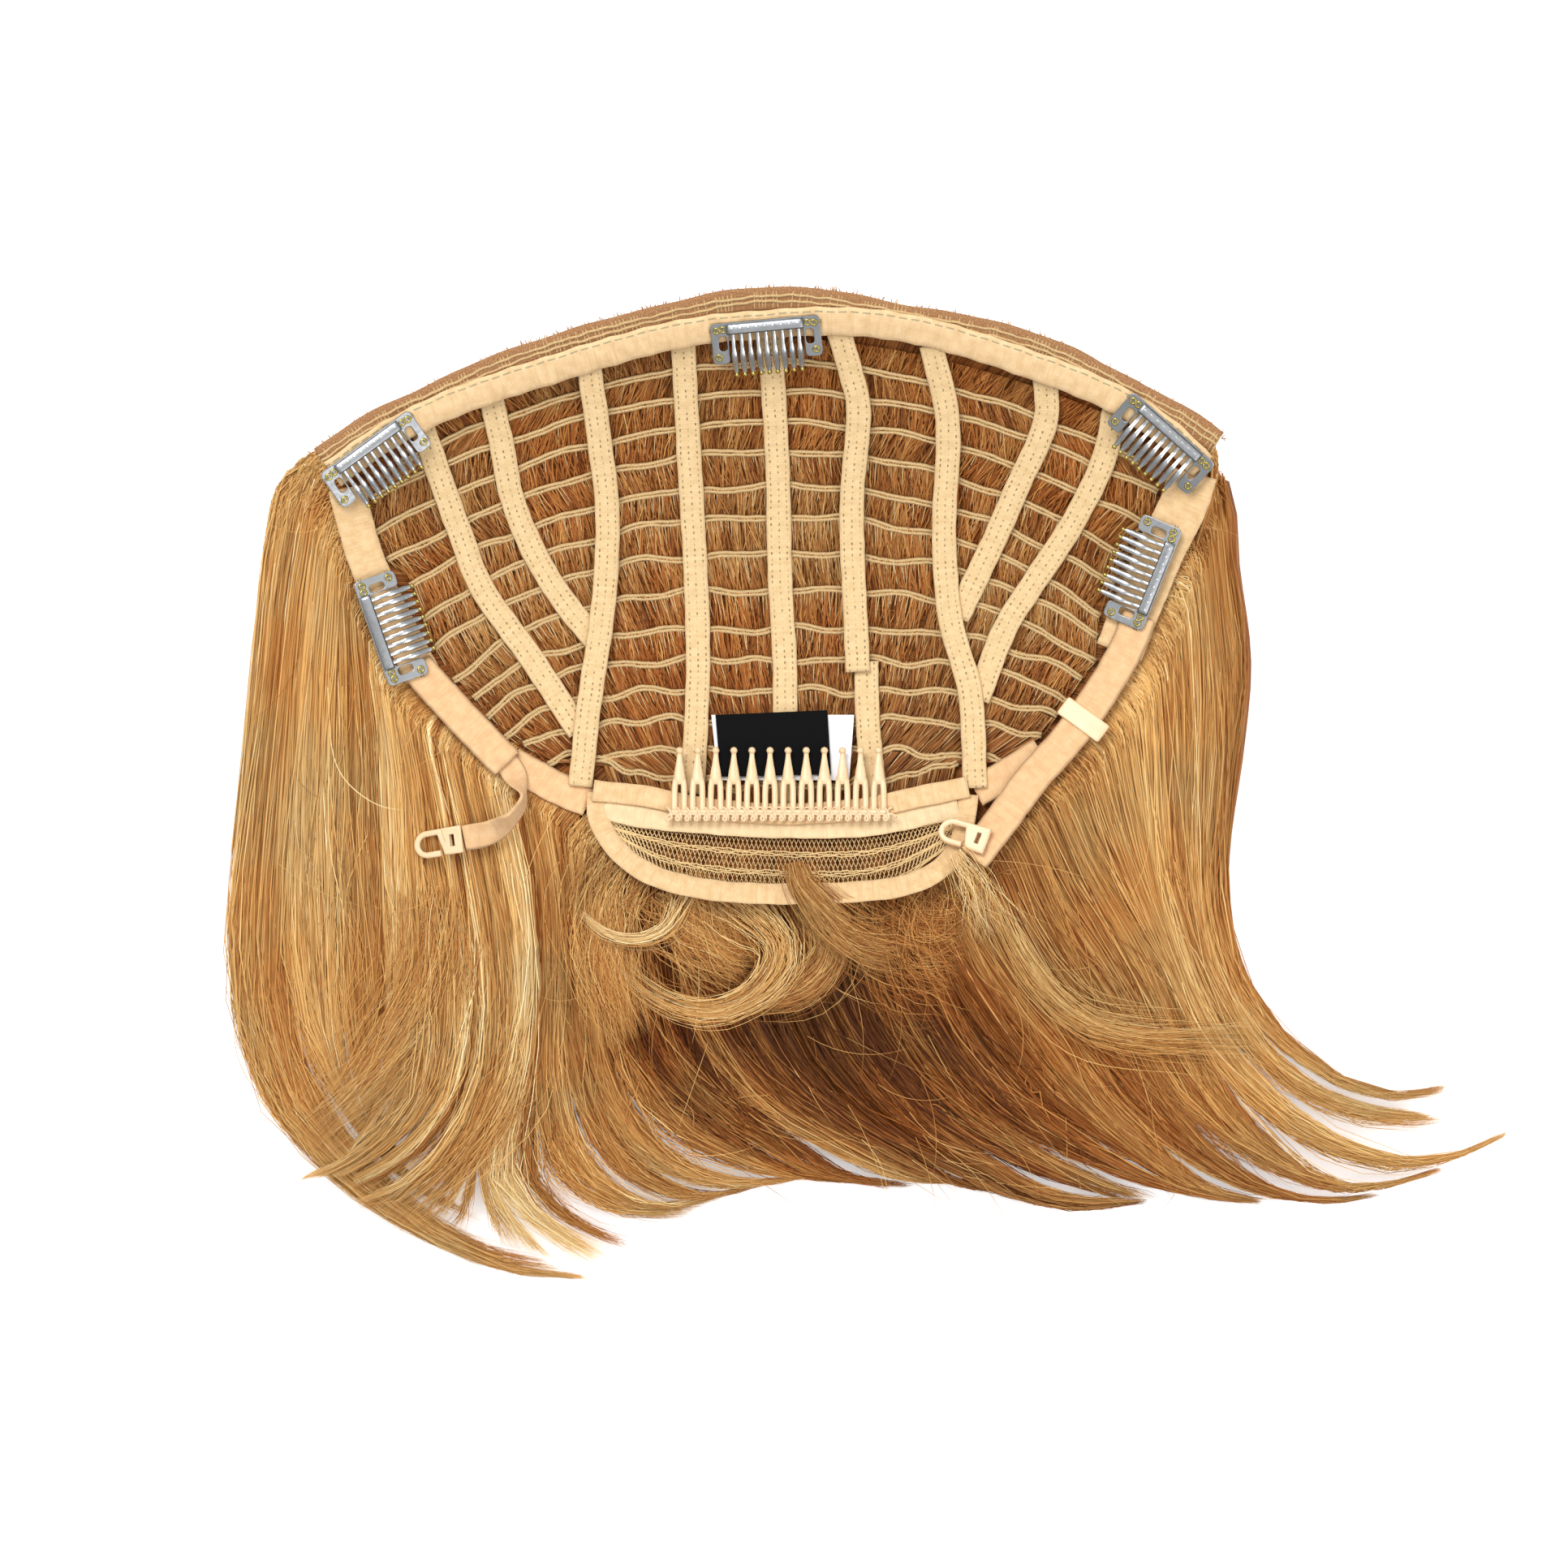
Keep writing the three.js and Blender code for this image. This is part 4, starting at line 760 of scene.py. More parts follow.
# The free hair. Each guide starts at the cap and runs on in shares of the hair's length, from the left ear
# round by the nape to the right ear.
GUIDES = [
    {"root": (-1.014, 0.336), "tone": 0.59, "run": [
        (-0.047, -0.044), (-0.067, -0.144), (-0.077, -0.264), (-0.1, -0.504), (-0.108, -0.66),
        (-0.072, -0.8), (0.048, -0.93), (0.218, -1.012), (0.333, -1.024)]},
    {"root": (-1.0, 0.289), "tone": 0.57, "run": [
        (-0.03, -0.11), (-0.045, -0.23), (-0.06, -0.42), (-0.07, -0.61), (-0.055, -0.71), (-0.015, -0.8),
        (0.14, -0.94), (0.24, -0.98), (0.3, -0.985)]},
    {"root": (-0.964, 0.206), "tone": 0.58, "run": [
        (-0.02, -0.11), (-0.03, -0.25), (-0.035, -0.4), (-0.035, -0.53), (-0.025, -0.64), (0.01, -0.73),
        (0.06, -0.79)]},
    {"root": (-0.928, 0.11), "tone": 0.57, "run": [
        (0, -0.13), (0, -0.28), (0.005, -0.43), (0.01, -0.56), (0.025, -0.66), (0.06, -0.72)]},
    {"root": (-0.856, -0.041), "tone": 0.56, "run": [
        (0.01, -0.12), (0.015, -0.27), (0.02, -0.42), (0.01, -0.52), (-0.04, -0.585), (-0.1, -0.62),
        (-0.122, -0.627)]},
    {"root": (-0.785, -0.096), "tone": 0.59, "run": [
        (0.015, -0.13), (0.03, -0.25), (0.04, -0.37), (0.025, -0.47), (-0.03, -0.54), (-0.09, -0.58)]},
    {"root": (-0.713, -0.138), "tone": 0.6, "run": [
        (0.02, -0.13), (0.04, -0.25), (0.045, -0.36), (0.03, -0.45), (-0.015, -0.53), (-0.07, -0.575),
        (-0.122, -0.59)]},
    {"root": (-0.605, -0.206), "tone": 0.63, "run": [
        (0.02, -0.13), (0.03, -0.25), (0.02, -0.35), (-0.01, -0.45), (-0.02, -0.49), (0.005, -0.54),
        (0.05, -0.58), (0.102, -0.618)]},
    {"root": (-0.497, -0.261), "tone": 0.47, "run": [
        (0.01, -0.11), (0.01, -0.23), (0.01, -0.33), (0.03, -0.41), (0.07, -0.465), (0.142, -0.497),
        (0.192, -0.489), (0.23, -0.476)]},
    {"root": (-0.425, -0.358), "tone": 0.38, "run": [
        (0.015, -0.12), (0.025, -0.23), (0.06, -0.31), (0.11, -0.36), (0.18, -0.39), (0.267, -0.392),
        (0.305, -0.385)]},
    {"root": (-0.3, -0.399), "tone": 0.27, "run": [
        (0.01, -0.11), (0.04, -0.21), (0.1, -0.28), (0.16, -0.32), (0.21, -0.355), (0.308, -0.376)]},
    {"root": (-0.156, -0.426), "tone": 0.21, "run": [
        (0.01, -0.1), (0.05, -0.19), (0.11, -0.25), (0.17, -0.29), (0.243, -0.331), (0.29, -0.348),
        (0.362, -0.348)]},
    {"root": (0.005, -0.426), "tone": 0.18, "run": [
        (0.015, -0.1), (0.05, -0.19), (0.11, -0.26), (0.18, -0.31), (0.25, -0.34), (0.303, -0.37),
        (0.37, -0.384), (0.46, -0.374)]},
    {"root": (0.149, -0.426), "tone": 0.19, "run": [
        (0.02, -0.1), (0.06, -0.18), (0.12, -0.25), (0.19, -0.3), (0.27, -0.34), (0.34, -0.37)]},
    {"root": (0.275, -0.426), "tone": 0.23, "run": [
        (0.03, -0.09), (0.08, -0.18), (0.14, -0.25), (0.21, -0.3), (0.29, -0.34), (0.37, -0.365),
        (0.45, -0.375)]},
    {"root": (0.382, -0.413), "tone": 0.28, "run": [
        (0.035, -0.08), (0.09, -0.16), (0.15, -0.24), (0.226, -0.313), (0.287, -0.362), (0.36, -0.384)]},
    {"root": (0.49, -0.358), "tone": 0.35, "run": [
        (0.04, -0.09), (0.09, -0.17), (0.14, -0.232), (0.194, -0.309), (0.26, -0.37), (0.33, -0.41),
        (0.414, -0.424), (0.47, -0.417)]},
    {"root": (0.634, -0.22), "tone": 0.42, "run": [
        (0.04, -0.09), (0.081, -0.16), (0.125, -0.234), (0.169, -0.332), (0.224, -0.409), (0.279, -0.459),
        (0.334, -0.492), (0.389, -0.505), (0.482, -0.48)]},
    {"root": (0.795, -0.041), "tone": 0.68, "run": [
        (0.02, -0.12), (0.024, -0.199), (0.035, -0.281), (0.063, -0.364), (0.101, -0.446), (0.145, -0.501),
        (0.205, -0.55), (0.271, -0.583), (0.342, -0.602), (0.408, -0.594), (0.468, -0.567)]},
    {"root": (0.903, 0.138), "tone": 0.52, "run": [
        (0.02, -0.15), (0.018, -0.3), (0.02, -0.4), (0.04, -0.49), (0.08, -0.57), (0.14, -0.63),
        (0.22, -0.665), (0.299, -0.678)]},
    {"root": (0.971, 0.289), "tone": 0.42, "run": [
        (0.017, -0.11), (0.032, -0.22), (0.025, -0.329), (0.012, -0.439), (0.014, -0.521), (0.03, -0.604),
        (0.069, -0.67), (0.124, -0.719), (0.179, -0.752), (0.233, -0.763), (0.291, -0.752)]},
]
GUIDE_STEPS = 64
LAST_GUIDE = len(GUIDES) - 1
# The guide whose hair crosses over the locks to its left, and how far it rises to do so
CROSSING_GUIDE = 5
CROSSING_RISE = 9 * MM
# How far inside the cap's edge the hair starts
ROOT_REACH = 9 * MM
CLUMPS = np.sort(np.random.default_rng(40).uniform(-0.15, LAST_GUIDE + 0.15, 96))
CLUMP_TONES = np.random.default_rng(53).normal(0, 0.1, len(CLUMPS))


def hair_route(root, run, count, reach=0.0):
    start = np.array(root) * CAP
    inner = [start + unit(BED_CENTRE - start) * reach] if reach else []
    return smooth_line(np.vstack([*inner, start, start + np.array(run) * HAIR_LENGTH]), count)


GUIDE_LINES = np.stack([
    hair_route(guide["root"], guide["run"], GUIDE_STEPS, ROOT_REACH) for guide in GUIDES
])
GUIDE_TONES = np.array([guide["tone"] for guide in GUIDES])


def guide_tone(place):
    return np.interp(place, np.arange(len(GUIDES)), GUIDE_TONES)


def among_guides(place, share):
    """Points at fractional places among the guides, and at shares of their length"""
    low = np.clip(np.floor(place).astype(int), 0, LAST_GUIDE - 1)
    spot = np.clip(share, 0, 1) * (GUIDE_STEPS - 1)
    step = np.clip(np.floor(spot).astype(int), 0, GUIDE_STEPS - 2)
    beside, beyond = (place - low)[..., None], (spot - step)[..., None]
    first = GUIDE_LINES[low, step] * (1 - beyond) + GUIDE_LINES[low, step + 1] * beyond
    second = GUIDE_LINES[low + 1, step] * (1 - beyond) + GUIDE_LINES[low + 1, step + 1] * beyond
    return first * (1 - beside) + second * beside


def ease(value, low, high):
    share = np.clip((value - low) / (high - low), 0, 1)
    return share * share * (3 - 2 * share)


def bell(value, spread):
    return np.exp(-((value / spread) ** 2))


def nearest_clump(start):
    after = np.clip(np.searchsorted(CLUMPS, start), 1, len(CLUMPS) - 1)
    return np.where(start - CLUMPS[after - 1] < CLUMPS[after] - start, after - 1, after)


# How strongly the tips draw together into separate locks, by guide: hardly on the left, most on the right
PULL_PLACES = (0, 6.5, 9, 14, 16.5, 20)
PULLS = (0.12, 0.2, 0.4, 0.45, 0.75, 0.8)


def gathered(start, share, hold=0.8):
    """Where hair that starts at a place lies further on, as its lock draws together towards the tip"""
    clump = CLUMPS[nearest_clump(start)]
    pull = np.interp(start, PULL_PLACES, PULLS) * hold
    place = start + (clump - start) * hold * (0.5 + 0.5 * pull) * ease(share, 0.25, 0.95)
    return place + (np.round(clump) - place) * pull * ease(share, 0.55, 0.98)


def fall_height(place, share):
    """The height of the hair's top, which drops to the floor at both sides and towards the tips"""
    side = np.minimum(place, LAST_GUIDE - place)
    side = np.clip((side + 0.15) / 1.1, 0.02, 1) ** 0.5
    over = CROSSING_RISE * bell(place - CROSSING_GUIDE, 1.2) * ease(share, 0.4, 0.8)
    return (TIP_HEIGHT + (FALL_TOP - TIP_HEIGHT) * (1 - share) ** 1.1 + over) * side


def under_cap(plan, height):
    """Heights held below the cloth of the cap"""
    return np.minimum(height, bowl_height(plan) + UNDER_LAYER - GAP)


# Shares of the hair's length at which its locks begin to narrow, and at which they end
LOCK_TAPER = 0.45
LOCK_END = 0.74
LOCK_SIDES = 8


def hair_locks():
    """The body of the free hair: a tapered lock for each clump, side by side"""
    count = len(CLUMPS)
    rng = np.random.default_rng(41)
    rows = 24
    share = np.linspace(0.02, LOCK_END, rows)[None].repeat(count, 0)
    start = np.clip(CLUMPS, 0.05, LAST_GUIDE - 0.05)[:, None].repeat(rows, 1)
    place = gathered(start, share)
    plan = among_guides(place, share)
    beside = among_guides(place + 0.1, share) - plan
    half = np.clip(np.linalg.norm(beside, axis=-1) * 1.9, 0.5 * MM, 5.5 * MM)
    half = half * (1 - 0.97 * ease(share, LOCK_TAPER, LOCK_END + 0.02)) + 0.05 * MM
    top = under_cap(plan, fall_height(start, share) * (0.84 - 0.5 * ease(share, LOCK_TAPER, LOCK_END)))
    right = np.concatenate([rightwards(plan), np.zeros((count, rows, 1))], -1)
    turn = np.arange(LOCK_SIDES)[:, None] * 2 * math.pi / LOCK_SIDES
    lines = raised(plan, top / 2)
    grid = lines[:, :, None] + right[:, :, None] * np.sin(turn) * half[..., None, None]
    grid[..., 2] += np.cos(turn)[:, 0] * (top / 2)[..., None] * 0.98
    # Each lock is painted 0.1 darker than its guides' hair: painted shade, as it is seen between the fine
    # hairs over it
    tone = guide_tone(start[:, 0]) - 0.1 + rng.normal(0, 0.05, count)
    Pile().add(grid, tone[:, None, None], wrap=True).piece("hair_locks", MASS, "hair", ["hair_fall"])


# Stretches of the fall from left to right, the guides between which each lies, and the hairs of each
FALL_STRETCHES = {
    "left": (-0.15, 4.5),
    "left_nape": (4.5, 9.5),
    "right_nape": (9.5, 15),
    "right": (15, 20.15),
}
FALL_HAIRS = 5900
# The middle of the nape among the guides, and how far its darker hair spreads
NAPE_GUIDE = 12
NAPE_SPREAD = 3.2


def hair_fall():
    """Fine hair over the locks"""
    rng = np.random.default_rng(52)
    rows = 12
    even = np.linspace(0, 1, rows)
    # Points lie closer together near the root and the tip, where the hair bends most
    spread = 0.55 * even + 0.45 * ease(even, 0, 1)
    count = int(FALL_HAIRS * STRAND_SHARE)
    for name, guides in FALL_STRETCHES.items():
        start = rng.uniform(*guides, count)
        begin = rng.uniform(0, 0.05, count) + (rng.random(count) < 0.25) * rng.uniform(0, 0.5, count)
        end = 1 - rng.random(count) ** 2 * 0.42
        share = begin[:, None] + (end - begin)[:, None] * spread
        hold = 1 - 0.6 * rng.random(count)[:, None] ** 3
        place = gathered(start[:, None] + 0 * share, share, hold)
        stray = rng.random(count) < 0.18
        drift = waves(rng, (count,), even, (0.4, 0.9, 1.5))
        drift = drift * (0.1 + 0.55 * stray[:, None] * rng.random((count, 1)))
        place = place + drift * ease(share, 0.05, 0.5) * (1 - 0.8 * ease(share, 0.55, 0.95))
        plan = among_guides(np.clip(place, -0.25, LAST_GUIDE + 0.25), share)
        loose = waves(rng, (count,), even, (0.7, 1.6, 2.7))
        plan = plan + rightwards(plan) * (loose * 0.8 * MM * np.linspace(0.3, 1.2, rows))[..., None]
        depth = 1 - 0.3 * rng.random(count) ** 2
        height = fall_height(np.clip(start, 0, LAST_GUIDE)[:, None], share) * depth[:, None]
        height = height + rng.uniform(0, 1.4, (count, 1)) * MM + stray[:, None] * 0.8 * MM
        lines = raised(plan, np.maximum(under_cap(plan, height), 0.4 * MM))
        tone = guide_tone(start) + CLUMP_TONES[nearest_clump(start)] + rng.normal(0, 0.12, count)
        # Hairs that lie lower in the mass are painted darker: painted shade
        tone = tone - 0.2 * (1 - depth)
        # The hair below the nape is darkest a third of the way down
        nape = bell(start - NAPE_GUIDE, NAPE_SPREAD)[:, None]
        crest, hollow, tips = bell(share, 0.14), bell(share - 0.36, 0.2), ease(share, 0.55, 0.9)
        nape = nape * (0.12 * crest - 0.16 * hollow + 0.12 * tips)
        tone = tone[:, None] + nape + 0.06 * ease(share, 0.6, 0.95)
        grids = strands(lines, FALL_HAIR, rng, roll=0.7, point=0.92)
        Pile().add(grids, tone[..., None]).piece(f"hair_fall_{name}", STRANDS, "hair")


FLYAWAYS = 200
FLYAWAY_TONE = 0.52


def flyaways():
    """Single pale hairs that lie loose over the rest, most of them below the nape"""
    rng = np.random.default_rng(57)
    count = int(FLYAWAYS * LOOSE_SHARE)
    rows = 9
    at_nape = rng.random(count) < 0.6
    place = np.where(at_nape, rng.normal(NAPE_GUIDE, 2.6, count), rng.uniform(0.3, LAST_GUIDE - 0.3, count))
    place = np.clip(place, 0.2, LAST_GUIDE - 0.2)
    share = np.clip(rng.random(count) ** 1.6 * 0.75, 0.03, 0.75)
    root = among_guides(place, share)
    ahead = unit(among_guides(place, share + 0.03) - root)
    turn = rng.normal(0, 0.4, count)[:, None] + rng.normal(0, 0.8, (count, 1)) * np.linspace(0, 1, rows)
    way = np.arctan2(ahead[:, 1], ahead[:, 0])[:, None] + turn
    step = rng.uniform(12, 42, (count, 1)) * MM / rows
    walk = np.cumsum(np.stack([np.cos(way), np.sin(way)], -1) * step[..., None], 1)
    plan = root[:, None] + walk
    height = fall_height(place, share)[:, None]
    height = height + (rng.uniform(1, 4, (count, 1)) - np.linspace(0, 4, rows)) * MM
    lines = raised(plan, np.maximum(under_cap(plan, height), 1 * MM))
    tone = FLYAWAY_TONE + rng.normal(0, 0.14, count)
    Pile().add(strands(lines, LOOSE_HAIR, rng), tone[:, None, None]).piece("hair_flyaways", STRANDS, "hair")


# Locks that lie across the others. Widths are in millimetres at the root, half way and at the tip, and
# heights at both ends. A lock marked over lies on the cap's cloth.
LOOSE_LOCKS = [
    {"name": "right_sweep", "root": (0.47, -0.4), "tone": 0.57, "count": 160,
     "widths": (5, 7, 8), "heights": (33, 15), "run": [
         (0.034, -0.075), (0.073, -0.13), (0.12, -0.168), (0.18, -0.185), (0.26, -0.19), (0.34, -0.19)]},
    {"name": "left_cross", "root": (-0.75, -0.4), "tone": 0.55, "count": 300,
     "widths": (14, 14, 9), "heights": (22, 12), "run": [
         (0.0, -0.06), (-0.012, -0.13), (-0.055, -0.21), (-0.11, -0.275), (-0.17, -0.33)]},
    {"name": "left_cross_low", "root": (-0.6, -0.42), "tone": 0.55, "count": 300,
     "widths": (14, 16, 10), "heights": (20, 10), "run": [
         (0.0, -0.08), (-0.01, -0.16), (-0.04, -0.25), (-0.09, -0.32), (-0.172, -0.391)]},
    {"name": "nape_curl", "root": (-0.11, -0.4), "tone": 0.66, "count": 128,
     "widths": (14, 5, 3), "heights": (34, 35), "run": [
         (0.052, -0.045), (0.071, -0.074), (0.063, -0.106), (0.032, -0.137), (-0.014, -0.156),
         (-0.059, -0.15), (-0.101, -0.127), (-0.134, -0.095)]},
    {"name": "small_curl", "root": (-0.2, -0.41), "tone": 0.82, "count": 52,
     "widths": (5, 2.4, 1.6), "heights": (34, 36), "run": [
         (-0.024, -0.046), (-0.057, -0.058), (-0.099, -0.051), (-0.132, -0.022)]},
    {"name": "copper_tuft", "root": (0.038, -0.359), "tone": 0.4, "count": 300, "over": True,
     "widths": (3.2, 6, 7), "heights": (42, 37), "run": [
         (0.008, -0.025), (0.024, -0.046), (0.045, -0.071), (0.07, -0.092), (0.103, -0.106),
         (0.132, -0.108)]},
    {"name": "copper_curl", "root": (0.066, -0.405), "tone": 0.4, "count": 340,
     "widths": (9, 7, 4), "heights": (34, 33), "run": [
         (0.021, -0.042), (0.025, -0.081), (0.004, -0.11), (-0.025, -0.126), (-0.06, -0.134),
         (-0.094, -0.137)]},
    {"name": "nape_arch_left", "root": (-0.229, -0.395), "tone": 0.46, "count": 380,
     "widths": (19, 14, 9), "heights": (33, 32), "run": [(0.036, -0.055), (0.07, -0.088), (0.1, -0.106)]},
    {"name": "nape_arch_right", "root": (0.275, -0.395), "tone": 0.36, "count": 400,
     "widths": (26, 22, 18), "heights": (33, 32), "run": [(0.015, -0.046), (0.04, -0.076), (0.08, -0.091)]},
    {"name": "nape_corner_left", "root": (-0.34, -0.36), "tone": 0.5, "count": 440,
     "widths": (13, 12, 9), "heights": (33, 33), "run": [
         (-0.02, -0.04), (-0.025, -0.09), (-0.015, -0.15), (0.01, -0.22)]},
    {"name": "hook_wisp", "root": (0.386, -0.343), "tone": 0.78, "count": 68, "over": True,
     "widths": (4, 7, 10), "heights": (41, 33), "run": [(0.021, -0.033), (0.034, -0.066), (0.05, -0.108)]},
    {"name": "stray", "root": (-0.986, -0.12), "tone": 0.98, "count": 8,
     "widths": (0.3, 0.3, 0.3), "heights": (31, 34), "run": [
         (0.004, -0.04), (0.018, -0.072), (0.06, -0.105), (0.095, -0.112)]},
]


def loose_locks():
    rng = np.random.default_rng(61)
    for lock in LOOSE_LOCKS:
        rows = 13
        count = int(lock["count"] * LOOSE_SHARE)
        middle = hair_route(lock["root"], lock["run"], rows)
        share = np.linspace(0, 1, rows)
        width = np.interp(share, (0, 0.5, 1), lock["widths"]) * MM
        offset = rng.normal(0, 0.45, (count, 1))
        sway = waves(rng, (count,), share, (0.6, 1.1, 1.9)) * 0.3
        sway = sway + rng.normal(0, 0.4, (count, 1)) * share**2
        plan = middle + rightwards(middle) * ((offset + sway) * width)[..., None]
        high, low = (height * MM for height in lock["heights"])
        height = high + (low - high) * share + np.cos(np.clip(offset, -1.5, 1.5)) * 1.2 * MM
        height = height - np.abs(rng.normal(0, 0.8, (count, 1))) * MM
        if not lock.get("over"):
            height = np.where(share < 0.25, under_cap(plan, height), height)
        begin = rng.random(count) ** 2 * (0.1 if lock.get("over") else 0.4)
        lines = trimmed(raised(plan, height), begin, 1 - rng.random(count) ** 2 * 0.4)
        tone = lock["tone"] + rng.normal(0, 0.15, count)
        grids = strands(lines, LOOSE_HAIR, rng, roll=0.6, point=0.92)
        Pile().add(grids, tone[:, None, None]).piece(f"hair_{lock['name']}", STRANDS, "hair")


def trimmed(lines, begin, end):
    """Each line cut to the stretch between two shares of its own length"""
    rows = lines.shape[1]
    spot = (begin[:, None] + np.linspace(0, 1, rows) * (end - begin)[:, None]) * (rows - 1)
    step = np.clip(np.floor(spot).astype(int), 0, rows - 2)
    beyond = (spot - step)[..., None]
    each = np.arange(len(lines))[:, None]
    return lines[each, step] * (1 - beyond) + lines[each, step + 1] * beyond


# Ribbons from the front tape to the nape, then the tapes and straps
RIBBONS = [
    {"name": "ribbon_1", "layer": UNDER_LAYER, "shares": [
        (-0.782, 0.376), (-0.745, 0.295), (-0.697, 0.19), (-0.655, 0.108), (-0.531, -0.029),
        (-0.437, -0.14)]},
    {"name": "ribbon_2", "layer": UNDER_LAYER, "shares": [
        (-0.631, 0.428), (-0.607, 0.345), (-0.585, 0.255), (-0.531, 0.155), (-0.47, 0.08), (-0.4, 0.014)]},
    {"name": "ribbon_3", "layer": MIDDLE_LAYER, "shares": [
        (-0.415, 0.484), (-0.387, 0.323), (-0.376, 0.25), (-0.383, 0.083), (-0.415, -0.09),
        (-0.433, -0.232)]},
    {"name": "ribbon_4", "layer": UNDER_LAYER, "shares": [
        (-0.208, 0.53), (-0.195, 0.34), (-0.178, 0.09), (-0.175, -0.04), (-0.186, -0.245)]},
    {"name": "ribbon_5", "layer": UNDER_LAYER, "shares": [
        (-0.016, 0.535), (0, 0.34), (0.008, 0.11), (0.018, -0.04), (0.016, -0.262)]},
    {"name": "ribbon_6", "layer": MIDDLE_LAYER, "shares": [
        (0.135, 0.54), (0.163, 0.467), (0.18, 0.41), (0.166, 0.246), (0.174, 0.06), (0.18, -0.038)]},
    {"name": "ribbon_6_lower", "layer": UNDER_LAYER, "shares": [
        (0.198, -0.02), (0.202, -0.131), (0.218, -0.255)]},
    {"name": "ribbon_7", "layer": MIDDLE_LAYER, "shares": [
        (0.34, 0.512), (0.377, 0.385), (0.37, 0.19), (0.386, 0.046), (0.427, -0.072), (0.438, -0.235)]},
    {"name": "ribbon_8", "layer": UNDER_LAYER, "shares": [
        (0.588, 0.468), (0.594, 0.39), (0.532, 0.274), (0.468, 0.163), (0.4, 0.055)]},
    {"name": "ribbon_9", "layer": UNDER_LAYER, "shares": [
        (0.745, 0.41), (0.72, 0.318), (0.655, 0.215), (0.562, 0.105), (0.508, 0.04), (0.445, -0.085)]},
]


FRONT_TAPE = [
    (-0.975, 0.292), (-0.889, 0.34), (-0.786, 0.387), (-0.671, 0.425), (-0.449, 0.481), (-0.21, 0.53),
    (0, 0.548), (0.12, 0.551), (0.257, 0.543), (0.402, 0.517), (0.619, 0.461), (0.749, 0.418),
    (0.853, 0.365), (0.935, 0.305),
]
FRONT_RIM = [
    (-1, 0.318), (-0.896, 0.371), (-0.738, 0.43), (-0.594, 0.48), (-0.431, 0.521), (-0.224, 0.562),
    (-0.045, 0.586), (0.095, 0.584), (0.282, 0.558), (0.481, 0.528), (0.61, 0.496), (0.752, 0.441),
    (0.885, 0.388), (0.965, 0.345),
]
SIDE_TAPE_LEFT = [(-0.945, 0.27), (-0.932, 0.225), (-0.9, 0.142), (-0.844, 0.048), (-0.78, -0.045)]
SIDE_TAPE_RIGHT = [(0.915, 0.295), (0.894, 0.241), (0.856, 0.183), (0.804, 0.089), (0.755, -0.005)]
NAPE_UPPER = [
    (-0.405, -0.239), (-0.282, -0.25), (-0.192, -0.265), (0.005, -0.279), (0.203, -0.268), (0.311, -0.25),
    (0.422, -0.233),
]
NAPE_LOWER = [
    (-0.385, -0.268), (-0.3, -0.283), (-0.16, -0.294), (0.005, -0.301), (0.197, -0.298), (0.4, -0.268),
]
NAPE_RIM = [
    (-0.397, -0.242), (-0.395, -0.282), (-0.368, -0.323), (-0.318, -0.362), (-0.237, -0.392),
    (-0.12, -0.409), (0.005, -0.413), (0.149, -0.411), (0.262, -0.402), (0.346, -0.378), (0.397, -0.337),
    (0.418, -0.275), (0.422, -0.246),
]
ELASTIC_LEFT = [(-0.795, -0.03), (-0.713, -0.1), (-0.641, -0.158), (-0.595, -0.194)]
ELASTIC_RIGHT = [
    (0.8, 0.055), (0.77, 0), (0.711, -0.078), (0.634, -0.158), (0.562, -0.22), (0.481, -0.303),
    (0.43, -0.352),
]
LINK_LEFT = [(-0.585, -0.193), (-0.53, -0.216), (-0.479, -0.237), (-0.415, -0.257)]
LINK_RIGHT = [(0.438, -0.241), (0.508, -0.213), (0.585, -0.175)]
TAPES = [
    {"name": "front_tape", "shares": FRONT_TAPE, "width": FRONT_TAPE_WIDTH, "layer": TOP_LAYER,
     "pucker": 0.8 * MM, "cloth": FRONT_CLOTH},
    {"name": "side_tape_left", "shares": SIDE_TAPE_LEFT, "width": SIDE_TAPE_LEFT_WIDTH,
     "layer": MIDDLE_LAYER},
    {"name": "side_tape_right", "shares": SIDE_TAPE_RIGHT, "width": SIDE_TAPE_RIGHT_WIDTH,
     "layer": MIDDLE_LAYER},
    {"name": "nape_upper_tape", "shares": NAPE_UPPER, "width": NAPE_UPPER_WIDTH, "layer": TOP_LAYER},
    {"name": "nape_lower_tape", "shares": NAPE_LOWER, "width": NAPE_LOWER_WIDTH, "layer": MIDDLE_LAYER,
     "cloth": NAPE_CLOTH},
    {"name": "nape_rim_tape", "shares": NAPE_RIM, "width": NAPE_RIM_WIDTH, "layer": MIDDLE_LAYER,
     "pucker": 0.2 * MM},
]
STRAPS = [
    {"name": "elastic_left", "shares": ELASTIC_LEFT, "width": ELASTIC_WIDTH, "layer": TOP_LAYER},
    {"name": "elastic_right", "shares": ELASTIC_RIGHT, "width": ELASTIC_WIDTH, "layer": TOP_LAYER},
    {"name": "nape_link_left", "shares": LINK_LEFT, "width": LINK_WIDTH, "layer": UNDER_LAYER},
    {"name": "nape_link_right", "shares": LINK_RIGHT, "width": LINK_WIDTH, "layer": UNDER_LAYER},
]


def cloth_strips():
    ribbons = [{**row, "width": RIBBON_WIDTH} for row in RIBBONS]
    for rows, material, slot, seed in (
        (ribbons, RIBBON, "ribbon", 200),
        (TAPES, TAPE, "ribbon", 300),
        (STRAPS, STRAP, "strap", 300),
    ):
        for index, row in enumerate(rows):
            pucker = row.get("pucker", 0.0)
            grid = strip(row["shares"], row["width"], row["layer"], seed=seed + index, pucker=pucker)
            pile = Pile().add(closed_ends(grid), wrap=True)
            pile.piece(f"{row['name']}_cloth", row.get("cloth", material), slot, [row["name"]])


# Of the rim: the share of its cross threads that show, where its two cords run, and its short hairs
RIM_THREADS = 0.6
RIM_CORDS = (-0.14, 0.07)
FUZZ_HAIRS = 1500


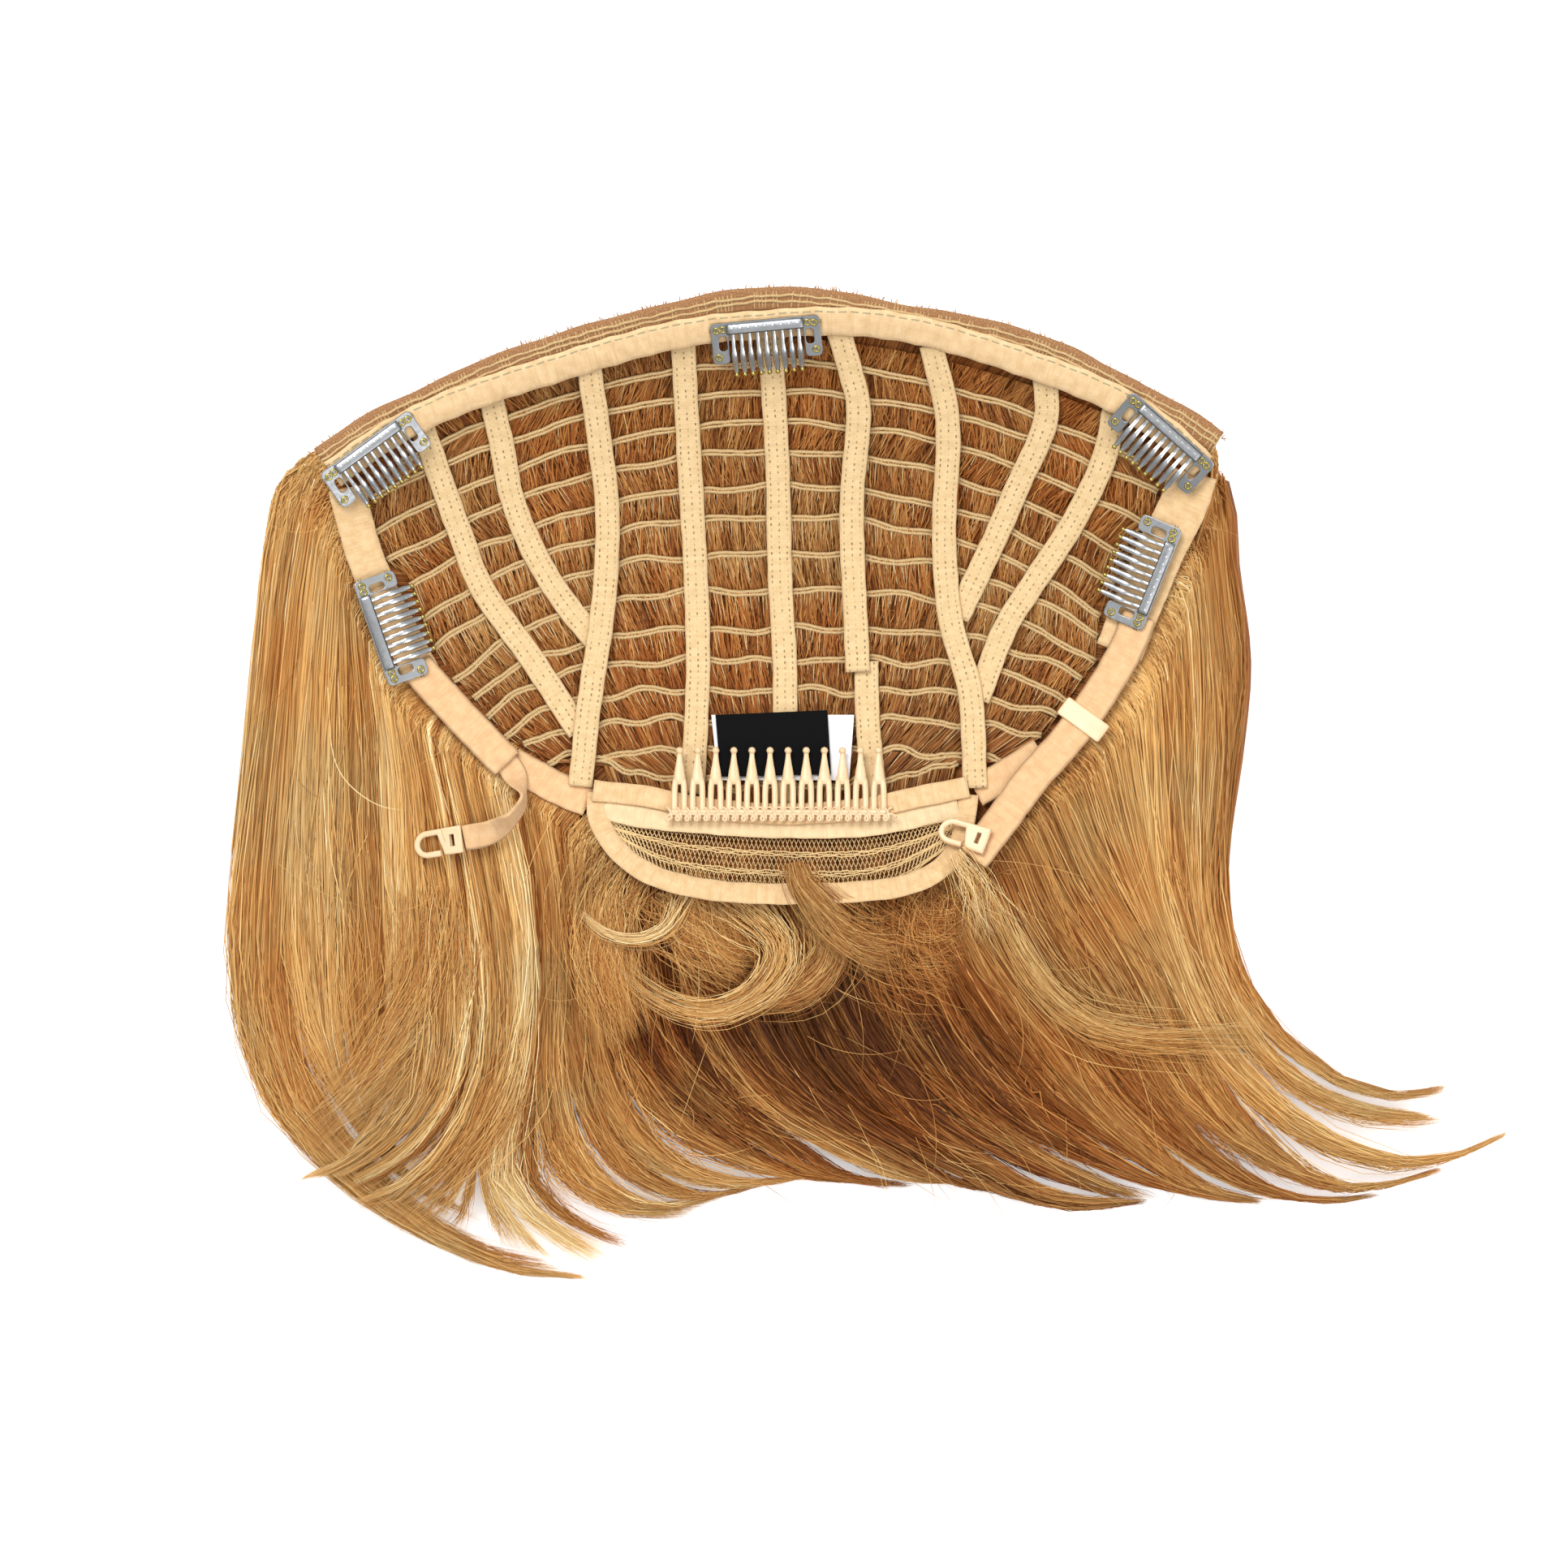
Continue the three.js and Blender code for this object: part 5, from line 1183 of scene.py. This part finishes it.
def front_rim():
    """A knitted band with threads over it, and a fuzzy edge of short hair outside it"""
    rng = np.random.default_rng(71)
    grid = strip(FRONT_RIM, RIM_WIDTH, RIM_LAYER, seed=70, thickness=RIM_THICKNESS, ripple=0.4 * MM)
    pile = Pile().add(closed_ends(grid), wrap=True)
    pile.piece("front_rim_band", KNIT, "rim_knit", ["front_weft_rim"])
    line = cap_line(FRONT_RIM, 1.1 * MM)
    rim_threads(rng, line)
    rim_fuzz(rng, line)


def rim_threads(rng, line):
    """Thin threads across the rim, dropping at its edges, and two cords along it"""
    right = rightwards(line)
    share = np.linspace(-0.5, 0.5, 6)
    lean = rng.normal(0, 0.6, (len(line), 1)) * MM * share
    ahead = np.stack([-right[:, 1], right[:, 0]], -1)
    across = right[:, None] * (share * RIM_WIDTH * 0.94)[None, :, None]
    plan = line[:, None] + across + ahead[:, None] * lean[..., None]
    loops = laid(plan, RIM_LAYER + RIM_THICKNESS + (0.05 - 0.9 * (2 * share) ** 6) * MM)
    kept = rng.random(len(loops)) < RIM_THREADS
    pale = Pile().add(tubes(loops[kept], 0.22 * MM, sides=4), wrap=True)
    for offset in RIM_CORDS:
        sway = waves(rng, (1,), np.linspace(0, 1, len(line)), (9.1, 23.7, 51.3))[0] * 0.35 * MM
        along = line + right * (offset * RIM_WIDTH + sway)[:, None]
        pale.add(tubes(laid(along, RIM_LAYER + RIM_THICKNESS + 0.1 * MM), 0.42 * MM, sides=5), wrap=True)
    pale.piece("front_rim_threads", WEFT, "weft_cord")


def rim_fuzz(rng, line):
    """Short hairs that stand out from the rim every way and droop"""
    count = int(FUZZ_HAIRS * LOOSE_SHARE)
    root = along_line(line, rng.random(count))
    out = unit(root - BED_CENTRE)
    turn = rng.normal(0, 0.7, count) + np.arctan2(out[:, 1], out[:, 0])
    way = np.stack([np.cos(turn), np.sin(turn)], -1)
    steps = np.linspace(0, 1, 4)
    reach = (1 * MM + rng.random(count) ** 2 * 2.4 * MM)[:, None, None]
    plan = (root + out * RIM_WIDTH * 0.3)[:, None] + way[:, None] * steps[:, None] * reach
    drop = RIM_LAYER + (1.6 - steps * rng.uniform(0.5, 3, (count, 1))) * MM
    grids = strands(laid(plan, drop), FUZZ_HAIR, rng)
    tone = 0.3 + rng.normal(0, 0.12, count)
    Pile().add(grids, tone[:, None, None]).piece("front_rim_fuzz", STRANDS, "hair")


# The net of the nape piece
NET_TOP = [(-0.375, -0.29), (-0.228, -0.297), (0.005, -0.31), (0.197, -0.308), (0.4, -0.285)]
NET_BOTTOM = [(-0.365, -0.318), (-0.24, -0.386), (0.005, -0.411), (0.24, -0.4), (0.395, -0.325)]
NET_ROWS = 10
NET_COLUMNS = 80
# Denser bands across the net, as shares of its height
NET_BANDS = (0.04, 0.36, 0.68, 0.96)


def nape_net():
    """Zigzag threads that meet at their corners, with a denser band after every third row of holes"""
    points = 2 * NET_COLUMNS + 1
    top, bottom = (smooth_line(np.array(edge) * CAP, points) for edge in (NET_TOP, NET_BOTTOM))
    rows = []
    for row in range(NET_ROWS):
        zigzag = np.where((np.arange(points) + row) % 2, 0.44, -0.44)
        share = ((row + 0.5 + zigzag) / NET_ROWS)[:, None]
        rows.append(laid(top + (bottom - top) * share, UNDER_LAYER + 0.5 * MM))
    pile = Pile().add(tubes(np.stack(rows), 0.3 * MM, sides=4, flat=0.7), wrap=True)
    rng = np.random.default_rng(77)
    for band in NET_BANDS:
        for offset in (-0.035, 0.0, 0.035):
            sway = waves(rng, (1,), np.linspace(0, 1, points), (6.1, 14.3, 31.9))[0] * 0.02
            share = (band + offset + sway)[:, None]
            line = laid(top + (bottom - top) * share, UNDER_LAYER + 0.75 * MM)
            pile.add(tubes(line, 0.2 * MM, sides=4), wrap=True)
    pile.piece("nape_net_threads", NET, "net", ["nape_net"])


# Labels, left bare
WHITE_LABEL = {"top": [(-0.145, -0.111), (0.171, -0.111)], "bottom": [(-0.13, -0.222), (0.16, -0.222)]}
BLACK_LABEL = {"top": [(-0.136, -0.111), (0.112, -0.103)], "bottom": [(-0.125, -0.216), (0.12, -0.212)]}


def label(name, corners, layer, material, seed):
    rng = np.random.default_rng(seed)
    count = 15
    top, bottom = (np.linspace(*(np.array(corners[edge]) * CAP), count) for edge in ("top", "bottom"))
    share = np.linspace(0, 1, count)[:, None, None]
    plan = bottom[None] + (top - bottom)[None] * share
    curl = np.abs(waves(rng, (count,), np.linspace(0, 1, count), (0.8, 1.7, 2.6))) * 0.5 * MM
    upper, lower = laid(plan, layer + 0.45 * MM + curl), laid(plan, layer + curl)
    edges = [
        np.concatenate([grid[0, :-1], grid[:-1, -1], grid[-1, :0:-1], grid[:0:-1, 0]])
        for grid in (lower, upper)
    ]
    pile = Pile().add(upper).add(lower[:, ::-1]).add(np.stack(edges)[None], wrap=True)
    made = pile.piece(f"{name}_cloth", material, name, [name])


def labels():
    label("label_white", WHITE_LABEL, MIDDLE_LAYER, LABEL_WHITE, 81)
    label("label_black", BLACK_LABEL, MIDDLE_LAYER + LABEL_THICKNESS + GAP, LABEL_BLACK, 82)


# The loose end of the left strap. Base goes from the bowl, 0, to the level of the hair's top, 1. Lift is in
# strap widths above it, and roll is in degrees from the bowl.
ADJUSTER = [
    {"at": (-0.62, -0.17), "base": 0, "lift": 0.26, "roll": 0},
    {"at": (-0.582, -0.206), "base": 0, "lift": 0.27, "roll": 0},
    {"at": (-0.556, -0.25), "base": 0, "lift": 0.95, "roll": -72},
    {"at": (-0.58, -0.285), "base": 0, "lift": 0.45, "roll": -70},
    {"at": (-0.63, -0.31), "base": 1, "lift": -0.13, "roll": -40},
    {"at": (-0.69, -0.32), "base": 1, "lift": -0.55, "roll": -12},
]


def place_on_curve(points, place):
    """The curve's point at a share of its run from point to point, and the way ahead there"""
    fine = []
    for share in (place, min(place + 0.002, 1.0), max(place - 0.002, 0.0)):
        spot = share * (len(points) - 1)
        index = min(int(spot), len(points) - 2)
        around = [2 * points[0] - points[1], *points, 2 * points[-1] - points[-2]][index:index + 4]
        fine.append(curve_between(around, spot - index))
    return fine[0], unit(fine[1] - fine[2])


def adjuster_axes(place):
    """The centre of the band at a share of its run, the way ahead, its side and its face"""
    spot = place * (len(ADJUSTER) - 1)
    index = min(int(spot), len(ADJUSTER) - 2)
    blend = ease(spot - index, 0, 1)
    low, high = ADJUSTER[index], ADJUSTER[index + 1]
    base, lift, roll = (low[key] + (high[key] - low[key]) * blend for key in ("base", "lift", "roll"))
    centre, ahead = place_on_curve([np.array(row["at"]) * CAP for row in ADJUSTER], place)
    left = np.array([-ahead[1], ahead[0]])
    slope = (bowl_height(centre + left * MM) - bowl_height(centre)) / MM
    turn = math.radians(roll) + math.atan(slope)
    side = np.array([*(left * math.cos(turn)), math.sin(turn)])
    face = np.array([*(-left * math.sin(turn)), math.cos(turn)])
    level = bowl_height(centre) * (1 - base) + FALL_TOP * base
    return np.array([*centre, level + lift * ADJUSTER_WIDTH]), side, face


def adjuster_band():
    across, up = TAPE_SECTION.T
    rows = []
    for place in np.linspace(0, 1, 48):
        centre, side, face = adjuster_axes(place)
        spots = centre - side * (across * ADJUSTER_WIDTH / 2)[:, None]
        rows.append(spots + face * ((up - 0.5) * CLOTH)[:, None])
    pile = Pile().add(closed_ends(np.stack(rows)), wrap=True)
    pile.piece("adjuster_band_cloth", STRAP, "strap", ["adjuster_band_left"])


# Flat hard pieces are outlines with rounded edges
def flat_solid(outline, holes, thickness, edge, move):
    """A plate with rounded edges, centred on its plane; move takes its points to their place"""
    curve = bpy.data.curves.new("outline", "CURVE")
    curve.dimensions = "2D"
    curve.fill_mode = "BOTH"
    curve.extrude = thickness / 2 - edge
    curve.bevel_depth = edge
    curve.bevel_resolution = 1
    curve.offset = -edge
    for points in [outline, *holes]:
        spline = curve.splines.new("POLY")
        spline.points.add(len(points) - 1)
        for point, (x, y) in zip(spline.points, points):
            point.co = (x, y, 0, 1)
        spline.use_cyclic_u = True
    carrier = in_scene("outline", curve)
    mesh = bpy.data.meshes.new_from_object(carrier.evaluated_get(bpy.context.evaluated_depsgraph_get()))
    bpy.data.objects.remove(carrier)
    bpy.data.curves.remove(curve)
    points = np.zeros(len(mesh.vertices) * 3)
    mesh.vertices.foreach_get("co", points)
    mesh.vertices.foreach_set("co", move(points.reshape(-1, 3)).ravel())
    mesh.update()
    mesh.shade_flat()
    return mesh


def placing(origin, ahead, up):
    """Moves points from a piece's own axes, x ahead and z up, to their place"""
    side = unit(np.cross(up, ahead))
    axes = np.stack([np.cross(side, up), side, up])
    return lambda points: origin + points @ axes


def arc(centre, radius, first, last, count):
    turn = np.radians(np.linspace(first, last, count))
    return [(centre[0] + radius * math.cos(a), centre[1] + radius * math.sin(a)) for a in turn]


def hook_outline():
    half = HOOK_WIDTH / 2
    bend = HOOK_LENGTH - half
    inner = half - HOOK_WIRE
    middle = HOOK_LENGTH / 2
    outline = [
        (0, -half), (bend, -half), *arc((bend, 0), half, -80, 80, 12), (bend, half), (bend - half, half),
        (bend - half, inner), (bend, inner), *arc((bend, 0), inner, 80, -80, 10),
        (middle, -inner), (middle - HOOK_WIRE, half), (0, half),
    ]
    bar = middle - 2 * HOOK_WIRE
    return outline, [(HOOK_WIRE, -inner), (HOOK_WIRE, inner), (bar, inner), (bar, -inner)]


# How far the edges of flat plastic and steel are rounded, as a share of their thickness
WIRE_EDGE = 0.3
HOOK_RIGHT = {"at": (0.468, -0.338), "turn": 158}


def hooks():
    outline, slot = hook_outline()
    centre, side, face = adjuster_axes(1)
    before, _, _ = adjuster_axes(0.93)
    ahead = unit(centre - before)
    left = ("hook_left", centre - face * HOOK_WIRE / 2 + ahead * GAP, ahead, unit(np.cross(ahead, side)))
    spot = np.array(HOOK_RIGHT["at"]) * CAP
    turn = math.radians(HOOK_RIGHT["turn"])
    up = bowl_normal(spot)
    origin = laid(spot, 0.0) + up * (CLIP_LAYER + GAP)
    right = ("hook_right", origin, np.array([math.cos(turn), math.sin(turn), 0]), up)
    for name, origin, ahead, up in (left, right):
        move = placing(origin + up * HOOK_WIRE / 2, ahead, up)
        mesh = flat_solid(outline, [slot], HOOK_WIRE, HOOK_WIRE * WIRE_EDGE, move)
        mesh.shade_smooth()
        shown(f"{name}_plastic", mesh, PLASTIC, "plastic", [name])


# Where the slider sits, as a share of the strap's length
SLIDER_PLACE = 0.4


def slider():
    """A flat loop that lies over the strap, bowed a little across it"""
    strap = cap_line(ELASTIC_RIGHT, 1 * MM)
    centre = along_line(strap, SLIDER_PLACE)
    ahead = unit(along_line(strap, SLIDER_PLACE + 0.01) - along_line(strap, SLIDER_PLACE - 0.01))
    up = bowl_normal(centre)
    origin = laid(centre, TOP_LAYER + CLOTH + SLIDER_WIRE)
    place = placing(origin, np.array([*ahead, 0]), up)
    x, y = SLIDER_WIDTH / 2, SLIDER_LENGTH / 2
    corners = [(-x, -y), (x, -y), (x, y), (-x, y)]

    def move(points):
        bow = (points[:, 1] / SLIDER_LENGTH * 2) ** 2
        return place(points - np.stack([0 * bow, 0 * bow, bow * 0.9 * MM], -1))

    mesh = flat_solid(rounded(corners, 0.8 * MM), [], SLIDER_WIRE, SLIDER_WIRE * WIRE_EDGE, move)
    mesh.shade_smooth()
    shown("strap_slider_plastic", mesh, PLASTIC, "plastic", ["strap_slider_right"])


# Along a tooth, in shares of its length: how far each of its two legs lies from its middle, and then the
# half width of its upper part, both in millimetres
COMB_LEG = np.array([(-0.12, 1.42), (0.05, 1.42), (0.2, 1.42), (0.33, 1.36), (0.42, 1.18), (0.5, 0.9)])
COMB_UPPER = np.array([
    (0.38, 0.9), (0.44, 1.75), (0.52, 1.72), (0.62, 1.45), (0.72, 1.1), (0.84, 0.78), (0.93, 0.66),
])
COMB_TIP = 1.12 * MM


def on_comb(x, y, lift=0.0):
    """The place of a point of the comb, x along its spine and y towards its tips"""
    plan = np.stack([x, COMB_SPINE_WIDTH / 2 + y], -1) + np.array(NAPE_UPPER[3]) * CAP
    return laid(plan, CLIP_LAYER + COMB_THICKNESS / 2 + lift)


def comb():
    """Split teeth with ball tips on a spine that is wrapped in looped thread"""
    centres = (np.arange(COMB_TEETH) - (COMB_TEETH - 1) / 2) * COMB_PITCH
    pile = Pile()
    length, apart = COMB_LEG.T
    for side in (-1, 1):
        x = centres[:, None] + side * apart * MM
        y = length * COMB_TOOTH_LENGTH + 0 * x
        pile.add(tubes(on_comb(x, y), 0.9 * MM, sides=8, flat=0.7), wrap=True)
    length, half_width = COMB_UPPER.T
    x = centres[:, None] + 0 * length
    lines = on_comb(x, length * COMB_TOOTH_LENGTH + 0 * x)
    pile.add(tubes(lines, half_width * MM, sides=10, flat=0.55), wrap=True)
    tips = on_comb(centres, np.full(COMB_TEETH, COMB_TOOTH_LENGTH - 1 * MM))
    pile.add(balls(tips, COMB_TIP), wrap=True)
    half = COMB_TEETH * COMB_PITCH / 2
    spine = np.linspace(-half, half, 60)
    spine = on_comb(spine, 0 * spine - COMB_SPINE_WIDTH / 2)
    pile.add(tubes(spine, COMB_SPINE_WIDTH * 0.36, 10, 0.5), wrap=True)
    pile.piece("comb_plastic", PLASTIC, "plastic", ["comb"])
    comb_thread(half)


def comb_thread(half):
    """Thread wound round the spine, and a chain of stitches along its back edge"""
    turns = 2 * COMB_TEETH
    share = np.linspace(0, 1, turns * 12)
    angle = 2 * math.pi * turns * share
    run = (2 * share - 1) * half * 1.04
    x = run + np.sin(angle) * 0.9 * MM
    y = -COMB_SPINE_WIDTH / 2 + np.cos(angle) * COMB_SPINE_WIDTH * 0.5
    loops = on_comb(x, y, np.maximum(np.sin(angle), -0.35) * COMB_THICKNESS * 0.8)
    x = run + np.sin(angle + 1.6) * 1.1 * MM
    y = -COMB_SPINE_WIDTH * 0.75 + np.cos(angle + 1.6) * 1 * MM
    chain = on_comb(x, y, COMB_THICKNESS * 0.9 + np.cos(angle * 2) * 0.2 * MM)
    pile = Pile().add(tubes(np.stack([loops, chain]), 0.4 * MM, sides=5), wrap=True)
    pile.piece("comb_thread", SEWING, "strap")


# Steel snap clips: the centre of the back edge, and the way the clip runs in degrees
CLIPS = [
    {"at": (-0.028, 0.569), "turn": 186},
    {"at": (-0.918, 0.355), "turn": 214.6},
    {"at": (-0.905, 0.02), "turn": -70},
    {"at": (0.885, 0.38), "turn": 139},
    {"at": (0.86, 0.115), "turn": 66.5},
]


def clip_place(row):
    """Takes a clip's own points, x along it and y towards its teeth from its middle, to their place"""
    angle = math.radians(row["turn"])
    ahead = np.array([math.cos(angle), math.sin(angle)])
    inward = np.array([-math.sin(angle), math.cos(angle)])
    middle = np.array(row["at"]) * CAP + inward * CLIP_DEPTH / 2
    corners = [ahead * CLIP_LENGTH / 2 + side * inward * CLIP_DEPTH / 2 for side in (-1, 1)]
    rise = BOWL_DEPTH * max((x / CAP[0]) ** 2 + (y / (BOWL_SPAN * CAP[1])) ** 2 for x, y in corners)
    up = bowl_normal(middle)
    origin = np.array([*middle, bowl_height(middle)]) + up * (CLIP_LAYER + rise)
    return placing(origin, np.array([*ahead, 0]), up)


def rounded(outline, radius, count=4):
    """An outline with each of its corners rounded"""
    points = np.array(outline)
    made = []
    for before, corner, after in zip(np.roll(points, 1, 0), points, np.roll(points, -1, 0)):
        reach = min(radius, np.linalg.norm(before - corner) / 2, np.linalg.norm(after - corner) / 2)
        first = corner + unit(before - corner) * reach
        last = corner + unit(after - corner) * reach
        for t in np.linspace(0, 1, count):
            made.append((1 - t) ** 2 * first + 2 * t * (1 - t) * corner + t**2 * last)
    return [tuple(point) for point in made]


def clip_frame_mesh(place):
    half = CLIP_LENGTH / 2
    window = half - CLIP_END_PAD
    outline = [
        (-half, 0), (half, 0), (half, CLIP_DEPTH), (window, CLIP_DEPTH), (window, CLIP_BACK_BAR),
        (-window, CLIP_BACK_BAR), (-window, CLIP_DEPTH), (-half, CLIP_DEPTH),
    ]
    holes = []
    slot = CLIP_SLOT_WIDTH / 2
    low, high = (CLIP_DEPTH - CLIP_SLOT_LENGTH) / 2, (CLIP_DEPTH + CLIP_SLOT_LENGTH) / 2
    for side in (-1, 1):
        x = side * (window + slot + 0.5 * MM)
        box = [(x - slot, low), (x + slot, low), (x + slot, high), (x - slot, high)]
        holes.append(rounded(box, slot, 5)[::-1])

    def move(points):
        points = points - (0, CLIP_DEPTH / 2, -CLIP_SHEET / 2)
        back = np.clip(1 - (points[:, 1] + CLIP_DEPTH / 2) / CLIP_BACK_BAR, 0, 1)
        points[:, 2] += 0.25 * MM * np.sin(math.pi * back) * (np.abs(points[:, 0]) < window)
        return place(points)

    return flat_solid(rounded(outline, CLIP_CORNER), holes, CLIP_SHEET, CLIP_SHEET * WIRE_EDGE, move)


EYELET_RADIUS = 0.85 * MM
# The height of the toothed plate above the middle of the clip's sheet
CLIP_PLATE_LEVEL = CLIP_SHEET * 1.5 + GAP


def clip_eyelets(place):
    """Brass rings in the end pads, with the cream thread that sews each one down"""
    half = CLIP_LENGTH / 2
    spots = [(side * (half - 1.8 * MM), y) for side in (-1, 1) for y in (2.2 * MM, CLIP_DEPTH - 2.2 * MM)]
    spots += [(side * (half - 3.7 * MM), 2 * MM) for side in (-1, 1)]
    turn = np.linspace(0, 2 * math.pi, 13)
    rings, stitches = [], []
    for x, y in spots:
        y -= CLIP_DEPTH / 2
        circle = [x + EYELET_RADIUS * np.cos(turn), y + EYELET_RADIUS * np.sin(turn), 0 * turn + CLIP_SHEET]
        rings.append(place(np.stack(circle, -1)))
        out = math.copysign(1, x)
        span = np.linspace(0, 1, 6)
        for lean in (-0.4, 0.4):
            drop = CLIP_SHEET + (0.3 - 1.1 * span**3) * MM
            line = [x + out * span * 2.2 * MM, y + lean * MM * span, drop]
            stitches.append(place(np.stack(line, -1)))
    return tubes(np.stack(rings), 0.34 * MM, 5), tubes(np.stack(stitches), 0.16 * MM, 4)


def clip_teeth(place):
    """The lines and widths of a clip's teeth: each rises to a kink half way and widens below it"""
    x = ((np.arange(CLIP_TEETH) - (CLIP_TEETH - 1) / 2) * CLIP_TOOTH_PITCH)[:, None]
    share = np.linspace(0, 1, 16)
    y = 1.2 * MM - CLIP_DEPTH / 2 + share * (CLIP_REACH - 2 * MM) + 0 * x
    bend = 1.3 * MM * np.where(share < 0.5, ease(share, 0.25, 0.5), 1 - ease(share, 0.5, 0.95))
    z = CLIP_PLATE_LEVEL + bend - 0.3 * MM * share + 0 * x
    lines = place(np.stack([x + 0 * y, y, z], -1).reshape(-1, 3)).reshape(CLIP_TEETH, -1, 3)
    width = 0.62 * MM + 0.3 * MM * ease(share, 0.42, 0.55) - 0.45 * MM * ease(share, 0.82, 1.0)
    return lines, width


def clip_bar(place):
    """The line of the bar that joins a clip's teeth"""
    x = np.linspace(-0.5, 0.5, 20) * (CLIP_TEETH * CLIP_TOOTH_PITCH + 1 * MM)
    return place(np.stack([x, 0 * x + 1.8 * MM - CLIP_DEPTH / 2, 0 * x + CLIP_PLATE_LEVEL], -1))


def clips():
    for index, row in enumerate(CLIPS, 1):
        place = clip_place(row)
        name = f"clip_{index}"
        body = f"{name}_plate"
        shown(f"{name}_plate", clip_frame_mesh(place), STEEL, "steel", [f"{name}_frame"])
        rings, stitches = clip_eyelets(place)
        Pile().add(rings, wrap=True).piece(f"{name}_eyelets", BRASS, "steel")
        Pile().add(stitches, wrap=True).piece(f"{name}_stitches", DARK_SEWING, "strap")
        lines, width = clip_teeth(place)
        teeth = Pile().add(tubes(lines, width, sides=8, flat=0.4), wrap=True)
        teeth.piece(f"{name}_teeth", BRIGHT_STEEL, "steel", [f"{name}_comb"], body=body)
        bar = Pile().add(tubes(clip_bar(place), 1.6 * MM, sides=8, flat=0.2), wrap=True)
        bar.piece(f"{name}_bar", STEEL, "steel", body=body)
        tips = Pile().add(balls(lines[:, -1], 0.72 * MM), wrap=True)
        tips.piece(f"{name}_tips", BRASS, "steel", body=body)


# The room: a white floor, soft light from above, and a camera that looks straight down
VIEW_CENTRE = (2.1 * MM, -39.5 * MM)
VIEW_FIELD = 460 * MM
VIEW_HEIGHT = 2.4
VIEW_LEVEL = 20 * MM
SENSOR = 36
FLOOR_SIZE = 6
LIGHTS = [
    {"name": "key", "size": 0.9, "power": 22, "at": (-0.5, 0.9, 1.3)},
    {"name": "fill", "size": 1.4, "power": 14, "at": (0.9, -0.6, 1.4)},
]
WORLD_TONES = [(0.05, (0.22, 0.23, 0.25)), (0.75, (1, 1, 1))]
WORLD_STRENGTH = 0.75


def room():
    camera = in_scene("camera", bpy.data.cameras.new("camera"))
    camera.location = (*VIEW_CENTRE, VIEW_HEIGHT)
    camera.data.sensor_width = SENSOR
    camera.data.lens = SENSOR * (VIEW_HEIGHT - VIEW_LEVEL) / VIEW_FIELD
    camera.data.clip_end = 10
    bpy.context.scene.camera = camera
    far = FLOOR_SIZE / 2
    mesh = bpy.data.meshes.new("floor")
    mesh.from_pydata([(-far, -far, 0), (far, -far, 0), (far, far, 0), (-far, far, 0)], [], [(0, 1, 2, 3)])
    mesh.materials.append(white_floor())
    in_scene("floor", mesh)
    for row in LIGHTS:
        light = in_scene(row["name"], bpy.data.lights.new(row["name"], "AREA"))
        light.data.size = row["size"]
        light.data.energy = row["power"]
        light.location = row["at"]
        light.rotation_mode = "QUATERNION"
        light.rotation_quaternion = Vector(row["at"]).to_track_quat("Z", "Y")
    soft_light()
    bpy.context.scene.view_settings.view_transform = "Standard"


def soft_light():
    """Light from all round, white from above and grey from below"""
    world = bpy.data.worlds.new("soft_light")
    world.use_nodes = True
    tree = world.node_tree
    way = tree.nodes.new("ShaderNodeTexCoord")
    parts = tree.nodes.new("ShaderNodeSeparateXYZ")
    ramp = tree.nodes.new("ShaderNodeValToRGB")
    for element, (place, colour) in zip(ramp.color_ramp.elements, WORLD_TONES):
        element.position = place
        element.color = (*colour, 1)
    tree.links.new(way.outputs["Generated"], parts.inputs[0])
    tree.links.new(parts.outputs["Z"], ramp.inputs[0])
    background = tree.nodes["Background"]
    tree.links.new(ramp.outputs[0], background.inputs[0])
    background.inputs[1].default_value = WORLD_STRENGTH
    bpy.context.scene.world = world


room()
hair_bed()
wefts()
hair_between_wefts()
hair_round_wall()
hair_locks()
hair_fall()
flyaways()
loose_locks()
cloth_strips()
front_rim()
nape_net()
labels()
adjuster_band()
hooks()
slider()
comb()
clips()
